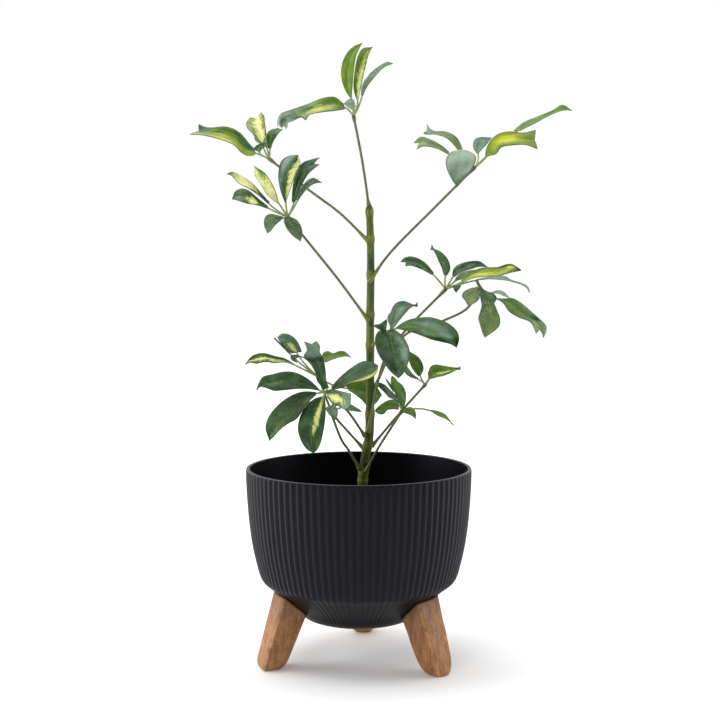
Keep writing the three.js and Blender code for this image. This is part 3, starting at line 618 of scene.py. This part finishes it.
class Graph:
    """Short names for a material's nodes."""

    def __init__(self, name):
        self.material = bpy.data.materials.new(name)
        self.material.use_nodes = True
        self.tree = self.material.node_tree
        self.shader = self.tree.nodes["Principled BSDF"]

    def add(self, kind, *inputs, **settings):
        """A node with its first inputs connected."""
        node = self.tree.nodes.new(kind)
        for key, value in settings.items():
            setattr(node, key, value)
        for value, socket in zip(inputs, node.inputs):
            self.connect(value, socket)
        return node

    def connect(self, value, socket):
        if isinstance(value, Signal):
            value = value.socket
        if isinstance(value, bpy.types.NodeSocket):
            self.tree.links.new(value, socket)
        else:
            socket.default_value = value

    def field(self, name):
        return Signal(self, self.add("ShaderNodeAttribute", attribute_name=name).outputs["Fac"])

    def place(self):
        return self.add("ShaderNodeTexCoord").outputs["Object"]

    def math(self, operation, *values):
        return Signal(self, self.add("ShaderNodeMath", *values, operation=operation).outputs[0])

    def noise(self, vector, scale, detail=3.0, roughness=0.55):
        node = self.add("ShaderNodeTexNoise")
        values = dict(Vector=vector, Scale=scale, Detail=detail, Roughness=roughness)
        for name, value in values.items():
            self.connect(value, node.inputs[name])
        return Signal(self, node.outputs["Fac"])

    def stretch(self, vector, scale):
        return self.add("ShaderNodeVectorMath", vector, scale, operation="MULTIPLY").outputs[0]

    def combine(self, x, y, z):
        return self.add("ShaderNodeCombineXYZ", x, y, z).outputs[0]

    def step(self, value, low, high):
        node = self.add("ShaderNodeMapRange", value, low, high, interpolation_type="SMOOTHSTEP")
        return Signal(self, node.outputs["Result"])

    def bands(self, value):
        """Half at each whole number, nought halfway between."""
        return abs(self.math("FRACT", value) - 0.5)

    def mix(self, factor, a, b):
        """Colour a turning into colour b; each is a socket or six hex digits."""
        node = self.add("ShaderNodeMix", factor, data_type="RGBA")
        sockets = [socket for socket in node.inputs if socket.type == "RGBA"]
        for value, socket in zip((a, b), sockets):
            self.connect(colour(value) if isinstance(value, str) else value, socket)
        return next(socket for socket in node.outputs if socket.type == "RGBA")

    def bump(self, height, strength, distance):
        node = self.add("ShaderNodeBump")
        for name, value in dict(Strength=strength, Distance=distance, Height=height).items():
            self.connect(value, node.inputs[name])
        self.connect(node.outputs["Normal"], self.shader.inputs["Normal"])

    def finish(self, base, roughness, **fixed):
        self.connect(base, self.shader.inputs["Base Color"])
        self.connect(roughness, self.shader.inputs["Roughness"])
        for name, value in fixed.items():
            self.shader.inputs[name.replace("_", " ")].default_value = value
        return self.material


def colour(text):
    """A linear colour from six hex digits."""
    channels = [int(text[i:i + 2], 16) / 255 for i in (0, 2, 4)]
    return tuple(c / 12.92 if c <= 0.04045 else ((c + 0.055) / 1.055) ** 2.4 for c in channels) + (1.0,)


def leaf_material():
    g = Graph("leaf_blade")
    along = g.field("along")
    across = g.field("across")
    under = g.field("under")
    yellow = g.field("yellow")
    seed = g.field("seed") * 9
    length = along * g.field("size")
    spread = abs(across)
    grain = g.noise(g.place(), 260, 4)
    cells = g.noise(g.place(), 1500, 2)
    vein_path = (along - spread * VEIN_SLANT) * g.field("size")
    vein = 1 - g.step(g.bands(vein_path * VEINS), 0, 0.12)
    wide_streaks = g.noise(g.combine(vein_path * 24, across * 1.3, seed), 1, 2)
    long_streaks = g.noise(g.combine(length * 4, across * 6, seed), 1, 2)
    lengthwise = g.step(yellow, 0.5, 0.8)
    streaks = wide_streaks * (1 - lengthwise) + long_streaks * lengthwise
    patches = g.noise(g.combine(length * 4.5, across * 1.3, seed), 1, 2)
    # painted sheen: patches where the blades turn pale blue-grey as if reflecting light
    sheen_noise = g.noise(g.combine(seed, length * 3.6, across * 1.1), 1, 2)
    tone = g.field("tone") + (patches - 0.5) * 1.3 + (streaks - 0.5) * 0.4
    green = g.mix(g.step(tone, -0.6, 0.1), "0d1d09", "20401a")
    green = g.mix(g.step(tone, 0, 0.5), green, "44691f")
    green = g.mix(g.step(tone, 0.4, 1), green, "688714")
    sheen_spots = g.step(sheen_noise, 0.5, 0.7)
    bluish = g.field("grey") * (sheen_spots * 0.3 + 0.85) + sheen_spots * 0.2
    # painted sheen: the green turned pale blue-grey
    green = g.mix(bluish * 0.72, green, g.mix(g.step(tone, 0.35, 0.75), "8fa898", "a0aa84"))
    green = g.mix(vein * (bluish * 0.2 + 0.06), green, "8fae7c")
    wander = (streaks - 0.5) * (1.9 - lengthwise * 0.9) + (patches - 0.5) * 0.6
    level = g.field("cream") + wander
    base = g.mix(g.step(level, 0.1, 0.45), green, g.mix(0.5, green, "93a32c"))
    base = g.mix(g.step(level, 0.42, 0.62), base, g.mix(yellow, "cfd08c", "98a62c"))
    base = g.mix(g.step(level, 0.75, 1.15), base, g.mix(yellow, "e6e4a8", "cdd22c"))
    midrib = 1 - g.step(spread, 0.01, 0.05)
    base = g.mix(midrib * 0.2, base, "9db26a")
    base = g.mix(g.step(spread, 0.84, 1) * 0.7, base, "2f3f24")
    base = g.mix(under, base, g.mix(0.5, base, "7f955c"))
    g.bump(cells * 0.06 - vein * 0.4 + grain * 0.2, 0.35, 0.0006)
    return g.finish(base, under * 0.15 + (grain * 0.04 + 0.34), Specular_IOR_Level=0.2,
                    Subsurface_Weight=0.03, Subsurface_Radius=(0.002, 0.004, 0.001))


def stalk_material():
    g = Graph("leaf_stalk")
    grain = g.noise(g.stretch(g.place(), (1, 1, 0.2)), 700)
    base = g.mix(g.step(grain, 0.25, 0.75), "565d40", "6c734e")
    base = g.mix(g.field("fresh") * 0.75, base, "97a86a")
    base = g.mix(g.field("sheath"), base, "727d3a")
    g.bump(grain, 0.3, 0.0004)
    return g.finish(base, grain * 0.2 + 0.36, Specular_IOR_Level=0.3)


def stem_material():
    g = Graph("stem_bark")
    height = Signal(g, g.add("ShaderNodeSeparateXYZ", g.place()).outputs["Z"])
    streaks = g.noise(g.stretch(g.place(), (1, 1, 0.08)), 320, 4)
    patches = g.noise(g.stretch(g.place(), (1, 1, 0.4)), 90, 4)
    spots = g.step(g.noise(g.stretch(g.place(), (1, 1, 0.5)), 600, 1), 0.66, 0.72)
    old = 1 - g.step(height, 0.17, 0.27)
    base = g.mix(g.step(patches, 0.35, 0.65), "35461f", "62702a")
    base = g.mix(old * 0.65, base, "2a3420")
    base = g.mix(g.step(streaks, 0.45, 0.65) * 0.6, base, "25321a")
    base = g.mix(spots * 0.4, base, "98975a")
    base = g.mix(g.field("scar") * 0.55, base, "9a9a3c")
    g.bump(streaks + spots * 0.5, 0.5, 0.0006)
    return g.finish(base, patches * 0.25 + 0.45, Specular_IOR_Level=0.25)


def pot_material():
    g = Graph("pot_charcoal")
    speckle = g.noise(g.place(), 2600, 2)
    cloud = g.noise(g.place(), 40, 4)
    base = g.mix(g.step(speckle, 0.35, 0.75), "050508", "0a0a10")
    # painted highlight: the rib crests lighter than the grooves
    base = g.mix(g.field("crest") * 0.5, base, "1c1c26")
    # painted highlight: light lines along the lip's rounded edges
    base = g.mix(g.field("rim") * 0.7, base, "5a5a60")
    base = g.mix(g.step(cloud, 0.45, 0.75) * 0.15, base, "1c1c22")
    g.bump(speckle + cloud * 0.5, 0.2, 0.0003)
    return g.finish(base, speckle * 0.14 + 0.3, Specular_IOR_Level=0.15, Specular_Tint=(0.86, 0.88, 1, 1))


def wood_material():
    g = Graph("leg_wood")
    along = g.field("along")
    sideways = g.field("sideways")
    deep = g.field("deep")
    drawn_out = lambda share: g.combine(along * share, sideways, deep)
    warp = g.noise(drawn_out(0.06), 0.12)
    fibres = g.noise(drawn_out(0.06), 2.2, 4)
    blotches = g.noise(drawn_out(0.5), 0.16, 4)
    chatter = g.noise(g.combine(along * 1.3, sideways * 0.9, deep), 0.8)
    pores = g.step(g.noise(drawn_out(0.3), 4.5, 1), 0.64, 0.72)
    base = g.mix(g.step(g.bands(sideways * 0.16 + warp * 3.5), 0, 0.5), "8c5630", "a56e3e")
    base = g.mix(g.step(blotches, 0.4, 0.68), base, "ba8249")
    base = g.mix(g.step(fibres, 0.5, 0.75) * 0.3, base, "6a4226")
    base = g.mix(g.step(chatter, 0.53, 0.66) * 0.6, base, "c89c68")
    base = g.mix(pores * 0.3, base, "4e301b")
    # pale corners: partly real wear, partly a painted highlight along each ridge
    base = g.mix(g.field("edge") * (g.step(blotches, 0.35, 0.55) * 0.8), base, "e0aa72")
    base = g.mix(g.field("shade") * 0.55, base, "4a2f1c")
    g.bump(fibres + chatter - pores, 0.35, 0.0004)
    return g.finish(base, fibres * 0.25 + 0.42)


def soil_material():
    g = Graph("soil_crumb")
    coarse = g.noise(g.place(), 220, 6, 0.7)
    fine = g.noise(g.place(), 1400)
    base = g.mix(g.step(coarse, 0.35, 0.65), "1d1611", "3d2d20")
    base = g.mix(g.step(fine, 0.6, 0.75) * 0.5, base, "5a4633")
    g.bump(coarse + fine, 0.8, 0.0015)
    return g.finish(base, 0.95)


def steel_material():
    g = Graph("screw_steel")
    brushed = g.noise(g.stretch(g.place(), (1, 1, 0.1)), 2500, 2)
    g.bump(brushed, 0.2, 0.0001)
    return g.finish(g.mix(brushed, "9c9ea0", "c9cbcd"), brushed * 0.2 + 0.25, Metallic=1)


def floor_material():
    g = Graph("floor_pale_glowing")
    mottling = g.noise(g.place(), 6)
    reach = Signal(g, g.add("ShaderNodeVectorMath", g.place(), operation="LENGTH").outputs["Value"])
    # The floor glows, more strongly away from the pot: painted light that keeps the far floor white
    g.shader.inputs["Emission Color"].default_value = (1, 1, 1, 1)
    g.connect(g.step(reach, 0.25, 1.6) * 0.45 + 0.09, g.shader.inputs["Emission Strength"])
    return g.finish(g.mix(mottling, "f1f1f1", "f5f5f5"), 0.7)


# Pot

def pot_rings(profile, rib_depth_at):
    """Rings down a profile and how far each point is out on a rib's crest."""
    angles = ring_angles(RIBS * COLUMNS_PER_RIB)
    groove = ((1 - np.cos(RIBS * angles)) / 2) ** RIB_SHARPNESS
    rings, crests = [], []
    for r, z in profile:
        depth = rib_depth_at(z)
        rings.append(level_ring(r - depth * groove - (RIB_DEPTH - depth) / 2, angles, z))
        crests.append((1 - groove) * min(1.0, depth / RIB_DEPTH))
    return np.array(rings), np.array(crests)


def rib_depth(z):
    under_rim = smooth_step(RIM_HEIGHT - z, RIM_BAND, RIB_START)
    on_bowl = 1 - (1 - BOWL_RIB_DEPTH) * smooth_step(BOWL_RIB_TOP - z, 0, BOWL_RIB_EASE)
    return RIB_DEPTH * under_rim * on_bowl * smooth_step(z, *RIB_END)


def build_pot(material):
    lip = [(RIM_RADIUS - inset, RIM_HEIGHT - drop) for inset, drop, _ in LIP]
    wall = [(RIM_RADIUS, RIM_HEIGHT - RIM_EDGE)]
    wall += profile_curve([(RIM_RADIUS, RIM_HEIGHT - RIB_START)] + POT_WALL, POT_WALL_ROWS)
    bowl = profile_curve(POT_BOWL, POT_BOWL_ROWS)[1:]
    inside = [(r - WALL, z) for r, z in wall if z > INSIDE_WALL_FOOT]
    rings, crests = pot_rings(lip + wall + bowl + [POT_UNDERSIDE], rib_depth)
    inner_rings, _ = pot_rings(inside + POT_INSIDE, lambda z: 0.0)
    rim = np.zeros_like(crests)
    # how much painted highlight each lip ring carries
    rim[:len(LIP)] = [[light] for _, _, light in LIP]
    pad = np.zeros(inner_rings.shape[:2])
    shape = Shape(["crest", "rim"])
    shape.add_tube(np.concatenate([inner_rings[::-1], rings]), crest=np.concatenate([pad, crests]),
                   rim=np.concatenate([pad, rim]))
    dress(shape.to_object("pot_shell", [material]), "pot")


# Legs

def bowl_height(r):
    """Underside of the bowl at a radius, millimetres."""
    radii, heights = zip(*sorted(POT_BOWL + [(LEG_TOP_RADIUS, LEG_TOP)]))
    return np.interp(r, radii, heights)


def leg_section():
    """A unit square with round corners, counter-clockwise."""
    flat = 0.5 - LEG_CORNER
    run = np.linspace(flat, -flat, LEG_STEPS + 1)[1:-1]
    turns = np.linspace(0, math.pi / 2, LEG_STEPS + 1)
    corner = np.stack([flat + LEG_CORNER * np.cos(turns), flat + LEG_CORNER * np.sin(turns)], axis=1)
    quarter = np.concatenate([corner, np.stack([run, np.full(len(run), 0.5)], axis=1)])
    return np.concatenate([turned(quarter, k * math.pi / 2) for k in range(4)])


def turned(points, angle):
    """Flat points turned about the origin."""
    across, up = math.cos(angle), math.sin(angle)
    return points @ np.array([[across, up], [-up, across]])


def leg_place(section, height, disc_share):
    """Section points at their heights, in the leg's own frame: outward, sideways."""
    side = LEG_FOOT + LEG_WIDENING * height
    lift = np.clip(1 - height / FOOT_ROUND_HEIGHT, 0, 1)
    side = side - 2 * FOOT_ROUND_INSET * (1 - np.sqrt(1 - lift ** 2))
    share = disc_share * smooth_step(1 - height / FOOT_DISC_HEIGHT, 0, 1)
    section = section + (unit(section) * FOOT_DISC_RADIUS - section) * np.reshape(share, (-1, 1))
    return LEG_RADIUS - LEG_LEAN * height + section[:, 0] * side, section[:, 1] * side


def build_leg(name, heading, material):
    square = leg_section()
    section = turned(square, math.radians(LEG_TWISTS[name]))
    # where the pale corners lie: worn wood and painted highlight
    edge = smooth_step(np.abs(square[:, 0] * square[:, 1]), *LEG_EDGE)
    top = np.full(len(section), float(LEG_TOP))
    for _ in range(LEG_TOP_ROUNDS):
        top = (top + bowl_height(np.hypot(*leg_place(section, top, 0))) - LEG_GAP) / 2
    foot = FOOT_SHARE * (1 - np.cos(np.linspace(0, math.pi / 2, FOOT_ROWS)))
    shares = np.concatenate([foot, np.linspace(*LEG_SHARES, LEG_ROWS)])
    rings, fields = [], []
    for share in shares:
        z = share * top
        x, y = leg_place(section, z, FOOT_DISC_SHARES[name])
        dent = LEG_DENTS[0] * np.sin(z / 5 + heading) * np.sin(x / 4) + LEG_DENTS[1] * np.sin(z / 9 + y / 3)
        x, y = x + dent, y + dent
        flat = turned(np.stack([x, y], axis=1), math.radians(heading))
        rings.append(np.column_stack([flat, z]))
        fields.append((z, y + 0.25 * x, x + heading, edge, np.full(len(z), share ** 3)))
    names = ["along", "sideways", "deep", "edge", "shade"]
    shape = Shape(names)
    shape.add_tube(np.array(rings), **dict(zip(names, np.swapaxes(fields, 0, 1))))
    dress(shape.to_object(f"leg_{name}_wood", [material]), f"leg_{name}")


# Soil

def soil_height(r, angle, bumpiness=1.0):
    bumps = np.sin(3.1 * angle + r / 9) + np.sin(7.3 * np.cos(angle) + r / 5) * np.cos(5 * angle)
    return SOIL_TOP - SOIL_SAG * (r / SOIL_EDGE) ** 4 + SOIL_BUMP * bumps * bumpiness


def build_soil(material):
    rng = np.random.default_rng(7)
    angles = ring_angles(SOIL_COLUMNS)
    rings = []
    for r in SOIL_EDGE * np.linspace(0.03, 1, SOIL_ROWS):
        grain = rng.normal(0, SOIL_GRAIN, SOIL_COLUMNS)
        heights = soil_height(r, angles, smooth_step(r, *SOIL_CALM)) + grain
        rings.append(level_ring(r, angles, heights))
    rings += [level_ring(r, angles, z) for r, z in SOIL_SKIRT]
    shape = Shape([])
    shape.add_tube(np.array(rings))
    for _ in range(CRUMBS):
        add_crumb(shape, rng)
    dress(shape.to_object("soil_crumbs", [material], smooth=False), "soil")


def add_crumb(shape, rng):
    """One small irregular lump lying on the soil."""
    r = (SOIL_EDGE - CRUMB_MARGIN) * math.sqrt(rng.uniform(0.01, 1))
    angle = rng.uniform(0, TURN)
    size = rng.uniform(*CRUMB_SIZES)
    height = soil_height(r, angle) + size * CRUMB_LIFT
    centre = np.array([r * math.cos(angle), r * math.sin(angle), height])
    rings = []
    for level in CRUMB_LEVELS:
        rough = size * math.sqrt(1 - level * level) * rng.uniform(*CRUMB_ROUGHNESS, CRUMB_SIDES)
        rings.append(centre + level_ring(rough, ring_angles(CRUMB_SIDES), level * size * CRUMB_FLATNESS))
    shape.add_tube(np.array(rings))


# Stem

def build_stem(material):
    path = smooth_path([(x, 0, z) for x, z in STEM_LINE], STEM_ROWS)
    heights = path[:, 2]
    foot, tip = STEM_LINE[0][1], STEM_LINE[-1][1]
    radii = STEM_BASE_RADIUS + (STEM_TOP_RADIUS - STEM_BASE_RADIUS) * (heights - foot) / (tip - foot)
    scars = np.zeros(len(path))
    for height in STEM_SCARS:
        swell = np.exp(-((heights - height) / STEM_SCAR_LENGTH) ** 2)
        ring = np.exp(-((heights - height - STEM_RING_UP) / STEM_RING_LENGTH) ** 2)
        radii = radii + STEM_SCAR_RISE * swell * 0.8 + STEM_RING_RISE * ring
        scars = np.maximum(scars, np.maximum(ring, 0.55 * swell))
    angles = ring_angles(STEM_SIDES)
    broad, fine = STEM_RIDGES
    ridges = 1 + broad * np.sin(3 * angles + heights[:, None] / 30) + fine * np.sin(9 * angles)
    taper = 1 - 0.75 * smooth_step(heights, tip - STEM_TAPER, tip)[:, None]
    centres = path[:, None, :]
    rings = centres + (tube_rings(path, radii, STEM_SIDES) - centres) * (ridges * taper)[..., None]
    shape = Shape(["scar"])
    shape.add_tube(rings, scar=np.repeat(scars, STEM_SIDES))
    dress(shape.to_object("stem_bark_skin", [material]), "stem")


# Leaves

def blade_half(t, width):
    """Half a hidden blade's width along its length."""
    rise = np.sin(np.pi / 2 * np.clip(t / BLADE_WIDEST, 0, 1)) ** BLADE_BASE
    x = np.clip((t - BLADE_WIDEST) / (1 - BLADE_WIDEST), 0, 1)
    return np.maximum(width / 2 * rise * (1 - x ** 2.1) ** 0.6, STALK_RADIUS * 0.8)


def tip_cut(across, tip, depth, seed):
    """How much of the length is missing at each place across the end."""
    if tip == "fork":
        return depth * (1 - np.abs(across)) ** 1.3
    if tip == "frayed":
        loss, broad, fine = FRAYS
        return loss + broad * np.sin(7.5 * across + 5 * seed) + fine * np.sin(17 * across + 9 * seed)
    return 0.0 * across


def eased(values, t):
    """A value along the blade from a few evenly spaced ones."""
    values = np.atleast_1d(np.asarray(values, float))
    if len(values) == 1:
        return np.full(np.shape(t), values[0])
    x = np.clip(t, 0, 1) * (len(values) - 1)
    k = np.minimum(x.astype(int), len(values) - 2)
    return values[k] + (values[k + 1] - values[k]) * smooth_step(x - k, 0, 1)


def cream_level(areas, t, s):
    """Signed depth inside the cream areas: above 0.5 is cream, below is green."""
    level = np.full(np.broadcast(t, s).shape, -1.0)
    for place, side, length, width, *strength in areas:
        rise = strength[0] if strength else 1.0
        level = np.maximum(level, 0.5 + rise * (1 - np.hypot((t - place) / length, (s - side) / width)))
    return level


def area_depth(areas, t, s):
    """How deep a place is inside soft round areas, added up."""
    depth = np.zeros(np.broadcast(t, s).shape)
    for place, side, length, width, strength in areas:
        depth += strength * smooth_step(1.2 - np.hypot((t - place) / length, (s - side) / width), 0, 1)
    return depth


def blade_grid():
    """Places along and across a blade, closer together at its edges."""
    t = np.linspace(0, 1, BLADE_ROWS + 1)[:, None]
    s = np.linspace(-1, 1, BLADE_COLUMNS + 1)
    return t, (np.sign(s) * (1 - (1 - np.abs(s)) ** 1.25))[None, :]


def blade_relief(t, s, half, size, fold, seed):
    """Height of a blade's skin over the flat blade, nought at its edges."""
    inside = 1 - s * s
    vee = half * (np.sqrt(s * s + 0.006) - 1.003) * math.sin(math.radians(fold)) + BLADE_CURL * half * inside
    ruffle = half / 9 * np.sin(TURN * (1.7 * t + seed)) * s * inside
    veins = VEINS * size * (t - VEIN_SLANT * np.abs(s))
    quilt = -VEIN_RELIEF * np.cos(TURN * veins) * np.sin(np.pi * np.abs(s) ** 0.8)
    swell = 0.04 * half * np.sin(TURN * (2.1 * t + 0.35 * s + 3 * seed)) * np.sin(np.pi * np.abs(s) ** 0.7)
    groove = -MIDRIB_GROOVE * np.exp(-(s / GROOVE_WIDTH) ** 2)
    return (vee + ruffle + quilt + swell + groove) * smooth_step(t, 0, BLADE_EASE)


def add_skin(shape, hub, marks, flat, normal, half, fold, seed):
    """A closed blade over its flat grid, with a keel under the midrib and a stalk from the hub."""
    t, s = blade_grid()
    size = steps_length(flat[:, BLADE_COLUMNS // 2]).sum() / BLADE_LENGTH
    upper = flat + normal * blade_relief(t, s, half, size, fold, seed)[..., None]
    keel = BLADE_KEEL * np.exp(-(s / KEEL_WIDTH) ** 2) * (1 - 0.8 * t)
    lower = upper - normal * (BLADE_EDGE + keel)[..., None]
    look = LOOKS[marks["look"]]
    shade = area_depth(marks["dark"], t, s)
    # grey is a painted sheen; the highlight areas add painted highlights, less where the blade is darker
    grey = eased(look.get("grey", 0.0), t) + area_depth(marks["gloss"], t, s) - 0.8 * shade
    values = dict(
        along=t, across=s, under=np.reshape([0, 1], (2, 1, 1)), seed=seed, size=size, yellow=marks["yellow"],
        tone=eased(look["tone"], t) + 0.12 * (seed - 0.5) + area_depth(marks["fresh"], t, s) - shade,
        grey=np.maximum(grey, 0), cream=cream_level(marks["cream"], t, s))
    grids = np.array([upper, lower])
    spread = {name: np.broadcast_to(value, grids.shape[:3]) for name, value in values.items()}
    shape.add_leaf_skin(grids, **spread)
    add_stalk(shape, hub, flat, normal)


# The photograph's camera, in millimetres from the pot's axis: place, axes and reach in pixels
PITCH = math.radians(CAMERA_PITCH)
EYE = np.array(CAMERA_OFFSET) / MM
AHEAD = np.array([0, math.cos(PITCH), -math.sin(PITCH)])
ABOVE = np.array([0, math.sin(PITCH), math.cos(PITCH)])
REACH = PICTURE * CAMERA_LENS / SENSOR


def picture_point(pixels, depth):
    """The point seen at a pixel of the photograph, at a depth (y) in millimetres."""
    across, down = np.moveaxis((pixels - PICTURE / 2) / REACH, -1, 0)[..., None]
    ray = AHEAD + across * np.array([1.0, 0, 0]) - down * ABOVE
    return EYE + ray * ((depth - EYE[1]) / ray[..., 1])[..., None]


def picture_pixel(point):
    """The pixel of the photograph at which a point is seen."""
    offset = point - EYE
    return PICTURE / 2 + REACH * np.array([offset[0], -offset @ ABOVE]) / (offset @ AHEAD)


def add_seen_blade(shape, hub, marks, seed):
    """A blade whose two edges lie where the photograph shows them."""
    t, s = blade_grid()
    rows = 4 * BLADE_ROWS + 1
    first, second = smooth_path(marks["first"], rows), smooth_path(marks["second"], rows)
    at = t * (1 - tip_cut(s, marks["tip"], marks["cut"], seed) * smooth_step(t, 0.6, 1))
    stations = np.linspace(0, 1, rows)
    pick = lambda edge: np.stack([np.interp(at, stations, edge[:, k]) for k in range(2)], axis=-1)
    middle = (pick(first) + pick(second)) / 2
    half = (pick(second) - pick(first)) / 2
    size = np.linalg.norm(half, axis=-1, keepdims=True)
    half = half / np.maximum(size, 0.01) * np.maximum(size, TIP_HALF_WIDTH)
    half[-1] = np.where(size[-1] < TIP_HALF_WIDTH, unit(half[-2]) * TIP_HALF_WIDTH, half[-1])
    spine = (first + second) / 2
    start = np.linalg.norm(spine[0] - picture_pixel(hub))
    start = start / (start + steps_length(spine).sum())
    depth = hub[1] + marks["deep"] * (start + (1 - start) * at) + BLADE_ARCH * np.sin(np.pi * at)
    depth = depth - s * math.tan(math.radians(marks["turn"])) * np.linalg.norm(half, axis=-1)
    flat = picture_point(middle + half * s[..., None], depth)
    normal = unit(np.cross(np.gradient(flat, axis=1), np.gradient(flat, axis=0)))
    normal[-1] = normal[-2]
    if normal[BLADE_ROWS // 2, BLADE_COLUMNS // 2, 1] > 0:
        normal = -normal
    true_half = np.linalg.norm(flat[:, -1] - flat[:, 0], axis=-1)[:, None] / 2
    add_skin(shape, hub, marks, flat, normal, true_half, BLADE_FOLD, seed)


def add_hidden_blade(shape, hub, marks, seed):
    reach = np.array(marks["reach"], float)
    start = marks["stalk"] / np.linalg.norm(reach)
    bow = np.array([marks["bow"][0], 0.0, marks["bow"][1]])
    place = lambda q: hub + q[..., None] * reach + np.sin(np.pi * q ** 0.85)[..., None] * bow
    t, s = blade_grid()
    q = (start + (1 - start) * t) * np.ones_like(s)
    last = np.clip(q + 0.02, 0.04, 1)
    tangent = unit(place(last) - place(last - 0.04))
    face = math.radians(marks["face"])
    facing = unit(np.array(marks["up"], float)) * math.cos(face) + FRONT * math.sin(face)
    side = unit(np.cross(tangent, facing))
    half = blade_half(t, marks["width"])
    flat = place(q) + side * (half * s * math.cos(math.radians(marks["fold"])))[..., None]
    add_skin(shape, hub, marks, flat, np.cross(side, tangent), half, marks["fold"], seed)


def add_stalk(shape, hub, flat, normal):
    """The little stalk from the hub into the base of a blade."""
    middle = BLADE_COLUMNS // 2
    base = flat[1, middle] - normal[1, middle] * STALK_RADIUS
    bend = base - unit(flat[5, middle] - flat[1, middle]) * np.linalg.norm(base - hub) * STALK_BEND
    q = np.linspace(0, 1, STALK_ROWS)[:, None]
    path = hub * (1 - q) ** 2 + 2 * bend * q * (1 - q) + base * q * q
    radii = STALK_RADIUS * np.linspace(STALK_FLARE, 1, STALK_ROWS)
    shape.add_tube(tube_rings(path, radii, STALK_SIDES), slot=1, fresh=1.0)


def add_petiole(shape, path):
    """The long stalk, with a sheath at the stem and a dome over the hub."""
    points = smooth_path(path, PETIOLE_ROWS)
    share = np.linspace(0, 1, PETIOLE_ROWS)
    flare = np.maximum(0, 1 - share / SHEATH_SHARE) ** 1.5
    radii = PETIOLE_RADIUS + (PETIOLE_SHEATH - PETIOLE_RADIUS) * flare
    radii = radii + (HUB_RADIUS - PETIOLE_RADIUS) * smooth_step(share, *HUB_SHARES)
    sheath = np.repeat(1 - smooth_step(share, 0.0, 0.2), PETIOLE_SIDES)
    shape.add_tube(tube_rings(points, radii, PETIOLE_SIDES), slot=1, sheath=sheath)
    rises, dome_radii = np.transpose(HUB_DOME)
    dome = points[-1] + rises[:, None] * unit(points[-1] - points[-2])
    shape.add_tube(tube_rings(dome, dome_radii, PETIOLE_SIDES), slot=1)


def build_leaf(name, path, blades, materials, rng):
    shape = Shape(["along", "across", "under", "seed", "size", "tone", "grey", "cream", "yellow", "sheath",
                   "fresh"])
    hub = np.array(path[-1], float)
    for marks in blades:
        add_blade = add_seen_blade if "first" in marks else add_hidden_blade
        add_blade(shape, hub, marks, rng.uniform(0, 1))
    add_petiole(shape, path)
    dress(shape.to_object(name.replace("leaf_", "whorl_"), materials), name)


# Assembly

def dress(piece, node):
    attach(piece, "root")
    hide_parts(node)


def build_plant():
    rng = np.random.default_rng(11)
    build_pot(pot_material())
    wood = wood_material()
    steel = steel_material()
    for side, heading in LEG_HEADINGS.items():
        build_leg(side, heading, wood)
        for material_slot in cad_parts[f"screw_{side}"].material_slots:
            material_slot.material = steel
    build_soil(soil_material())
    build_stem(stem_material())
    materials = [leaf_material(), stalk_material()]
    for name, (path, blades) in LEAVES.items():
        build_leaf(name, path, blades, materials, rng)


def build_studio():
    corners = [(x * FLOOR_REACH, y * FLOOR_REACH, 0) for x, y in ((-1, -1), (1, -1), (1, 1), (-1, 1))]
    floor = bpy.data.meshes.new("floor")
    floor.from_pydata(corners, [], [(0, 1, 2, 3)])
    floor.materials.append(floor_material())
    link_object("floor", floor)
    build_world()
    for name, lamp in LAMPS.items():
        add_lamp(name, *lamp)


def build_world():
    """White behind the object; a softer grey dome, darker in front, lights it."""
    world = bpy.data.worlds.new("studio")
    world.use_nodes = True
    nodes, link = world.node_tree.nodes, world.node_tree.links.new
    parts = nodes.new("ShaderNodeSeparateXYZ")
    link(nodes.new("ShaderNodeTexCoord").outputs["Generated"], parts.inputs[0])
    front_to_back = nodes.new("ShaderNodeMapRange")
    link(parts.outputs["Y"], front_to_back.inputs["Value"])
    for name, value in DOME.items():
        front_to_back.inputs[name].default_value = value
    strength = nodes.new("ShaderNodeMix")
    link(nodes.new("ShaderNodeLightPath").outputs["Is Camera Ray"], strength.inputs["Factor"])
    link(front_to_back.outputs["Result"], strength.inputs["A"])
    strength.inputs["B"].default_value = 1.0
    link(strength.outputs["Result"], nodes["Background"].inputs["Strength"])
    nodes["Background"].inputs["Color"].default_value = (1, 1, 1, 1)
    bpy.context.scene.world = world


def add_lamp(name, place, size, power):
    light = bpy.data.lights.new(name, "AREA")
    light.size = size
    light.energy = power
    lamp = link_object(name, light)
    lamp.location = place
    x, y, z = np.array(LAMP_AIM) - np.array(place)
    lamp.rotation_euler = (math.atan2(math.hypot(x, y), -z), 0, math.atan2(y, x) - math.pi / 2)


def build_camera():
    camera = link_object("camera", bpy.data.cameras.new("camera"))
    camera.data.sensor_width = SENSOR
    camera.data.lens = CAMERA_LENS
    camera.location = AXIS + np.array(CAMERA_OFFSET)
    camera.rotation_euler = (math.radians(90 - CAMERA_PITCH), 0, 0)
    bpy.context.scene.camera = camera
    bpy.context.scene.view_settings.view_transform = "Standard"


build_camera()
build_plant()
build_studio()
